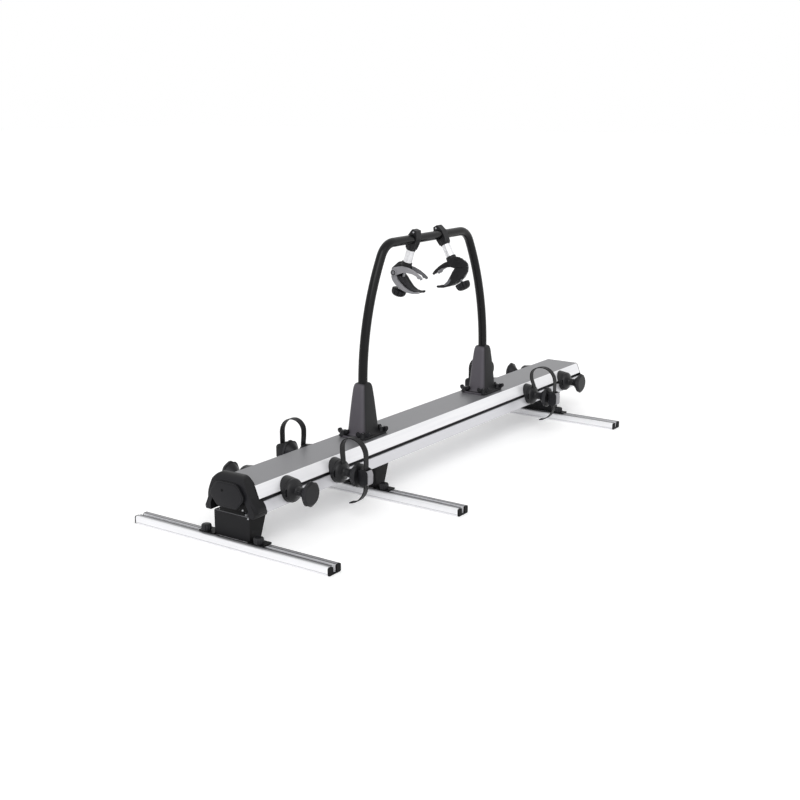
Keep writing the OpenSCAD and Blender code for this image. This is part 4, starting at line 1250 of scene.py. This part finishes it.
    def upper_jaw(self, grey: Material, black: Material) -> None:
        """Makes the upper jaw with its cover, a grey inner plate painted as a highlight, its pivot disc and
        socket.
        """
        near, far, name = self.near, self.far, self.place.name
        cover = finish_mesh(self.plate(f"upper_jaw_{name}_cover", self.top, -far, -near), grey, 0.0012, 3)
        disc = finish_mesh(self.disc("disc", 0.0098, -0.0100, -0.0200), grey, 0, 1)
        cover = join([cover, disc], f"upper_jaw_{name}_cover")
        ring = turned("ring", self.ring, 32)
        ring.data.transform(Matrix.Rotation(math.pi / 2, 4, "Y"))
        ring = finish_mesh(ring, black, 0.0002, 2)
        other = self.plate("plate", self.top, near + 0.0030, far)
        # Painted highlight: a grey inner plate whose top edge stands in for the light caught there.
        liner = finish_mesh(self.plate("liner", self.top, near, near + 0.0032), self.liner, 0.0008, 2)
        hump = self.plate("hump", self.hump, -near - 0.0004, near + 0.0004)
        cap = self.disc("cap", 0.0095, 0.0100, 0.0186)
        housing = self.plate("housing", self.upper_housing, far - 0.001, far + 0.0046)
        body = join([other, hump, cap, housing], f"upper_jaw_{name}_body")
        body = finish_mesh(body, black, 0.0010, 2)
        socket = finish_mesh(turned("socket", self.socket, 40), black, 0, 1)
        for obj in (cover, body, liner, ring):
            apply_place(obj, self.jaw())
        apply_place(socket, self.arm())
        body = join([body, socket, liner, ring], f"upper_jaw_{name}_body")
        ride_as(body, f"clamp_{name}", "jaws", f"upper_jaw_{name}")
        ride_as(cover, f"clamp_{name}", "jaws")

    def lower_jaw(self, grey: Material, black: Material, rubber: Material) -> None:
        """Makes the lower jaw with its cover, pad and a grey lip strip painted as a highlight."""
        near, far, name = self.near, self.far, self.place.name
        rim = self.plate(f"lower_jaw_{name}_cover", self.crescent, -far, -near - 0.0003)
        rim = finish_mesh(rim, grey, 0.0012, 3)
        shell = self.plate("shell", self.low, near + 0.0003, far)
        knuckle = self.disc("knuckle", 0.0085, -0.0088, 0.0088)
        housing = self.plate("housing", self.lower_housing, far - 0.004, far + 0.0042)
        shell = join([shell, knuckle, housing], f"lower_jaw_{name}_body")
        shell = finish_mesh(shell, black, 0.0010, 2)
        scoop = self.plate(f"lower_jaw_{name}_pad", self.scoop, -near - 0.0004, near + 0.0004)
        scoop = finish_mesh(scoop, rubber, 0.0008, 2)
        # Painted highlight: a grey strip where the cradle's surface catches the light.
        lip = finish_mesh(self.plate("lip", self.lip, far - 0.001, far + 0.0012), self.liner, 0.0004, 2)
        for obj in (rim, shell, scoop, lip):
            apply_place(obj, self.jaw())
        shell = join([shell, lip], f"lower_jaw_{name}_body")
        ride_as(shell, f"jaw_{name}", "jaws", f"lower_jaw_{name}")
        ride_as(rim, f"jaw_{name}", "jaws")
        ride_as(scoop, f"jaw_{name}", "jaws")

    def collar(self, black: Material, bright: Material) -> None:
        """Makes the eight-sided split collar that grips the hoop, with its neck and pinch bolt."""
        name, half_length = self.place.name, 0.0120
        outline = rounded(both_sides(self.collar_half), 4)
        later = range(len(outline) // 2 + 1, len(outline))
        split = next(i for i in later if outline[i][0] < 0 and outline[i][1] < 0)
        gap = [(-0.0150, 0.0007), (-0.0128, 0.0007), (-0.0128, -0.0007), (-0.0150, -0.0007)]
        block = slab("block", [*outline[:split], *gap, *outline[split:]], -half_length, half_length)
        neck = turned("neck", self.neck, 8)
        collar = finish_mesh(join([block, neck], f"collar_{name}_block"), black, 0.0010, 2, smooth=20)
        bolt = turned("bolt", self.bolt, 20)
        bolt.data.transform(Matrix.Translation((0, 0, 0.0200)) @ Matrix.Rotation(math.pi / 2, 4, "Y"))
        bolt = finish_mesh(bolt, bright, 0.0004, 2)
        bolt.name = f"collar_{name}_bolt"
        for obj in (collar, bolt):
            apply_place(obj, self.arm())
        ride_as(collar, f"clamp_{name}", "moulding", f"collar_{name}")
        ride_as(bolt, f"clamp_{name}", "screws")

    def screw(self, bright: Material, black: Material) -> None:
        """Makes the threaded screw and its fluted knob."""
        name = self.place.name
        radius, pitch, low, high = 0.0040, 0.00125, -0.151, -0.0955
        line: list[Flat] = [(0, low)]
        count = int((high - low) / pitch)
        for i in range(count):
            z = low + i * pitch
            line += [(radius - 0.00055, z), (radius, z + 0.45 * pitch), (radius, z + 0.60 * pitch)]
        line += [(radius - 0.00055, high), (0, high)]
        thread = finish_mesh(turned(f"screw_{name}_thread", line, 24), bright, 0, 1, smooth=20)
        knob = fluted(f"screw_{name}_knob", 0.0210, 0.0026, 12, -0.1685, self.knob)
        knob = finish_mesh(knob, black, 0, 1, smooth=50)
        for obj in (thread, knob):
            apply_place(obj, self.arm())
        ride_as(knob, f"screw_{name}", "moulding", f"grip_{name}")
        ride_as(thread, f"screw_{name}", "screws")


# Straps


@dataclass(frozen=True)
class Strap:
    """One wheel strap: a toothed band from the cone's slit over the tyre and through the buckle.

    Attributes:
        place: The chock that it belongs to.
        width: Its width along the beam.
        thick: Its thickness.
        inner: Distance of its inner limb from the beam's middle.
        span: Width of its loop.
        rise: Height of the loop's top.
        start: Height at which it leaves the cone.
        tail_drop: How far below the slot the tail begins to curl.
        tail_r: Radius of the curl.
    """

    place: ChockPlace
    width: float = 0.0175
    thick: float = 0.0026
    inner: float = 0.090
    span: float = 0.070
    rise: float = Beam.slot + 0.092
    start: float = 0.1328
    tail_drop: float = 0.022
    tail_r: float = 0.053

    def belly(self, z: float) -> float:
        """How much wider the inner limb swings at a height than the loop itself."""
        bulge = 0.42 if self.place.name.endswith("3") else 0.10
        share = min(1.0, max(0.0, (z - 0.1360) / 0.040))
        return 1 + bulge * share * share * (3 - 2 * share)

    def route(self) -> list[Flat]:
        """Distance from the beam's middle and height of each point along the strap."""
        r_in = 0.4 * self.span
        r_out = self.span - r_in
        out, peak = self.inner + self.span, self.inner + r_in

        def arc(c: Flat, r: float, a0: float, a1: float, n: int) -> list[Flat]:
            """Points along an arc about c, from one angle to another in degrees."""
            turns = [math.radians(a0 + (a1 - a0) * i / n) for i in range(n + 1)]
            return [(c[0] + r * math.cos(a), c[1] + r * math.sin(a)) for a in turns]

        line = [(self.inner, self.start + 0.0035 * i) for i in range(14)]
        line += arc((peak, self.rise - r_in), r_in, 180, 90, 16)
        line = [(peak - (peak - t) * self.belly(z), z) for t, z in line]
        down = self.rise - r_out
        line += arc((peak, down), r_out, 85, 0, 20)
        tail = Beam().slot - self.tail_drop
        line += [(out, down - (down - tail) * i / 20) for i in range(1, 20)]
        line += arc((out - self.tail_r, tail), self.tail_r, 0, -84, 22)
        return line

    def build(self, material: Material) -> Piece:
        """Extrudes the band along its route.

        Args:
            material: Finish of the strap.

        Returns:
            The strap, for the caller to tie to its chock.
        """
        line = self.route()
        t0, z0 = line[0]
        side = self.place.side
        name = f"wheel_strap_{self.place.name}"
        obj = start_plate(name, (self.width, self.thick), (self.place.x, side * t0, z0))
        heading = math.pi / 2
        for (a, b), (c, d) in zip(line, line[1:]):
            new = math.atan2(d - b, c - a)
            turn = (heading - new + math.pi) % (2 * math.pi) - math.pi
            centre = Vector((self.place.x, side * a, b))
            if abs(turn) > 1e-6:
                bpy.ops.transform.rotate(
                    value=side * turn, orient_axis="X", orient_type="GLOBAL", center_override=centre
                )
            extrude((0, side * (c - a), d - b))
            heading = new
        bpy.ops.mesh.select_all(action="SELECT")
        bpy.ops.mesh.normals_make_consistent(inside=False)
        bpy.ops.object.mode_set(mode="OBJECT")
        obj.data.materials.append(material)
        return obj


# Room, light and camera


@dataclass(frozen=True)
class Studio:
    """Pale floor, soft lamps and the photograph's camera.

    Attributes:
        focal_px: Focal length in pixels of the photograph.
        picture_px: Width of the photograph in pixels.
        spot: Place of the camera.
        yaw: Its heading from +X towards +Y, in degrees.
        pitch: How far it looks down, in degrees.
        ambient: Strength of the surround's light on the object.
        floor_glow: Strength of the floor's own light.
    """

    focal_px: float = 1223.44
    picture_px: float = 800
    spot: Point = (-1.99835, -1.86683, 1.02454)
    yaw: float = 34.79
    pitch: float = 13.93
    ambient: float = 0.68
    floor_glow: float = 0.18

    @staticmethod
    def seen(nodes: Nodes) -> Value:
        """1 for rays from the camera and for those that metal or glass sends on, else 0."""
        path = nodes.node("LightPath", {}, {})
        camera, glossy, passing = (
            Value(nodes, path.outputs[f"Is {kind} Ray"]) for kind in ("Camera", "Glossy", "Transmission")
        )
        return (camera + glossy + passing).at_most(1.0)

    def floor(self) -> None:
        """Adds the white floor, which shows white to the camera and keeps the shadow."""
        deselect()
        bpy.ops.mesh.primitive_plane_add(size=60.0, location=(0.8, 0, -0.0002))
        obj = bpy.context.object
        obj.name = "studio_floor"
        shader = Shader("studio_floor")
        shader.set("Base Color", srgb("fcfcfc"))
        shader.set("Roughness", 0.9)
        shader.set("Specular IOR Level", 0.1)
        shader.set("Emission Color", shader.mix(self.seen(shader), (0, 0, 0, 1), (1, 1, 1, 1)))
        shader.set("Emission Strength", self.floor_glow)
        obj.data.materials.append(shader.material)

    def world(self) -> None:
        """Sets an even white surround."""
        world = bpy.data.worlds.new("studio_world")
        bpy.context.scene.world = world
        world.use_nodes = True
        nodes = Nodes(world.node_tree)
        light = nodes.tree.nodes["Background"]
        nodes.feed(light.inputs["Color"], (1, 1, 1, 1))
        nodes.feed(light.inputs["Strength"], self.ambient)
        white = nodes.node("Background", {}, {"Color": (1, 1, 1, 1), "Strength": 1.0})
        mix = nodes.node("MixShader", {}, {0: self.seen(nodes), 1: light.outputs[0], 2: white.outputs[0]})
        nodes.feed(nodes.tree.nodes["World Output"].inputs["Surface"], mix.outputs[0])

    def lamp(self, name: str, towards: Point, angle: float, power: float) -> None:
        """Adds one broad, far lamp, as even over the whole floor as a bank of soft boxes.

        Args:
            name: Its name.
            towards: The direction in which its light travels.
            angle: Breadth of its soft disc in degrees.
            power: Its power in watts per square metre.
        """
        data = bpy.data.lights.new(name, "SUN")
        data.angle = math.radians(angle)
        data.energy = power
        obj = bpy.data.objects.new(name, data)
        bpy.context.scene.collection.objects.link(obj)
        obj.rotation_euler = Vector(towards).to_track_quat("-Z", "Y").to_euler()

    def camera(self) -> None:
        """Places the camera of the photograph."""
        data = bpy.data.cameras.new("photo_camera")
        data.sensor_width = 36.0
        data.lens = data.sensor_width * self.focal_px / self.picture_px
        data.clip_end = 100
        obj = bpy.data.objects.new("photo_camera", data)
        bpy.context.scene.collection.objects.link(obj)
        obj.location = self.spot
        obj.rotation_euler = (math.radians(90 - self.pitch), 0, math.radians(self.yaw - 90))
        bpy.context.scene.camera = obj

    def build(self) -> None:
        """Adds the whole studio."""
        self.floor()
        self.world()
        self.lamp("key", (0.75, 0.45, -0.8), 40, 1.0)
        self.lamp("fill", (0.25, 0.85, -0.5), 60, 0.5)
        self.camera()
        bpy.context.scene.view_settings.view_transform = "Standard"
        log.info("studio ready")


# The carrier


class Carrier:
    """All pieces of the carrier."""

    def __init__(self) -> None:
        """Makes the finishes that several pieces share."""
        self.plastic = PLASTIC.build()
        self.knob = KNOB_PLASTIC.build()
        self.tower = TOWER_PLASTIC.build()
        self.zinc = ZINC.build()
        self.grey = JAW_GREY.build()
        self.black = JAW_BLACK.build()
        self.scoop = SCOOP_RUBBER.build()
        self.glide = GLIDE.build()
        self.end_black = END_BLACK.build()

    def cad(self) -> None:
        """Gives every CAD node its finish."""
        for rail, x in RAILS:
            dress((f"rail_{rail}",), rail_material(x))
        dress(("nose_cap", "release_lever", "tail_trim"), self.plastic)
        dress(("rail_end_caps",), self.end_black)
        dress(("bracket_front", "bracket_middle", "bracket_rear"), bracket_material())
        dress(("bracket_bolts", "rail_bolts", "lever_pin"), self.zinc)
        dress(("fixed_profile",), MILL.build())
        dress(("glide_pads",), self.glide)
        dress(named("rail_knob"), self.knob)
        dress(("beam_profile",), beam_material())
        dress(("tower_front", "tower_rear", "wing_screws"), self.tower)
        dress(("hoop",), HOOP_COAT.build())
        dress(named("chock_", "_knob"), self.knob)
        dress(named("chock_", "_cone"), cone_material())
        dress(named("buckle_"), self.plastic)
        bright = BRIGHT_TUBE.build()
        for clamp in CLAMPS:
            dress([f"collar_{clamp.name}", f"grip_{clamp.name}"], self.plastic)
            dress([f"arm_{clamp.name}"], bright)
            dress([f"upper_jaw_{clamp.name}", f"lower_jaw_{clamp.name}"], self.black)

    def towers(self) -> None:
        """Adds the shells of the towers and the wing screws."""
        for name, x in TOWERS:
            Tower(name, x).build(self.tower)
        WingScrews().build(self.plastic, self.zinc)

    def straps(self) -> None:
        """Adds the wheel straps and their buckles."""
        material = STRAP_PLASTIC.build()
        for place in CHOCKS:
            if place.strapped:
                ride_as(Strap(place).build(material), f"chock_{place.name}", "strap", f"strap_{place.name}")
                Buckle(place).build(self.plastic, self.grey)

    def clamps(self) -> None:
        """Adds the jaws, screws and knobs of the frame clamps."""
        liner = JAW_PAINTED_HIGHLIGHT.build()
        for place in CLAMPS:
            clamp = Clamp(place, liner)
            clamp.jaws(self.grey, self.black, self.scoop)
            clamp.screw(self.zinc, self.plastic)
            clamp.collar(self.black, self.zinc)

    def build(self) -> None:
        """Makes the carrier."""
        self.cad()
        FrontEnd().build(self.plastic, self.knob, self.end_black, self.zinc)
        self.towers()
        self.straps()
        self.clamps()


def main() -> None:
    """Builds the whole scene."""
    Carrier().build()
    Studio().build()


if __name__ == "__main__":
    main()
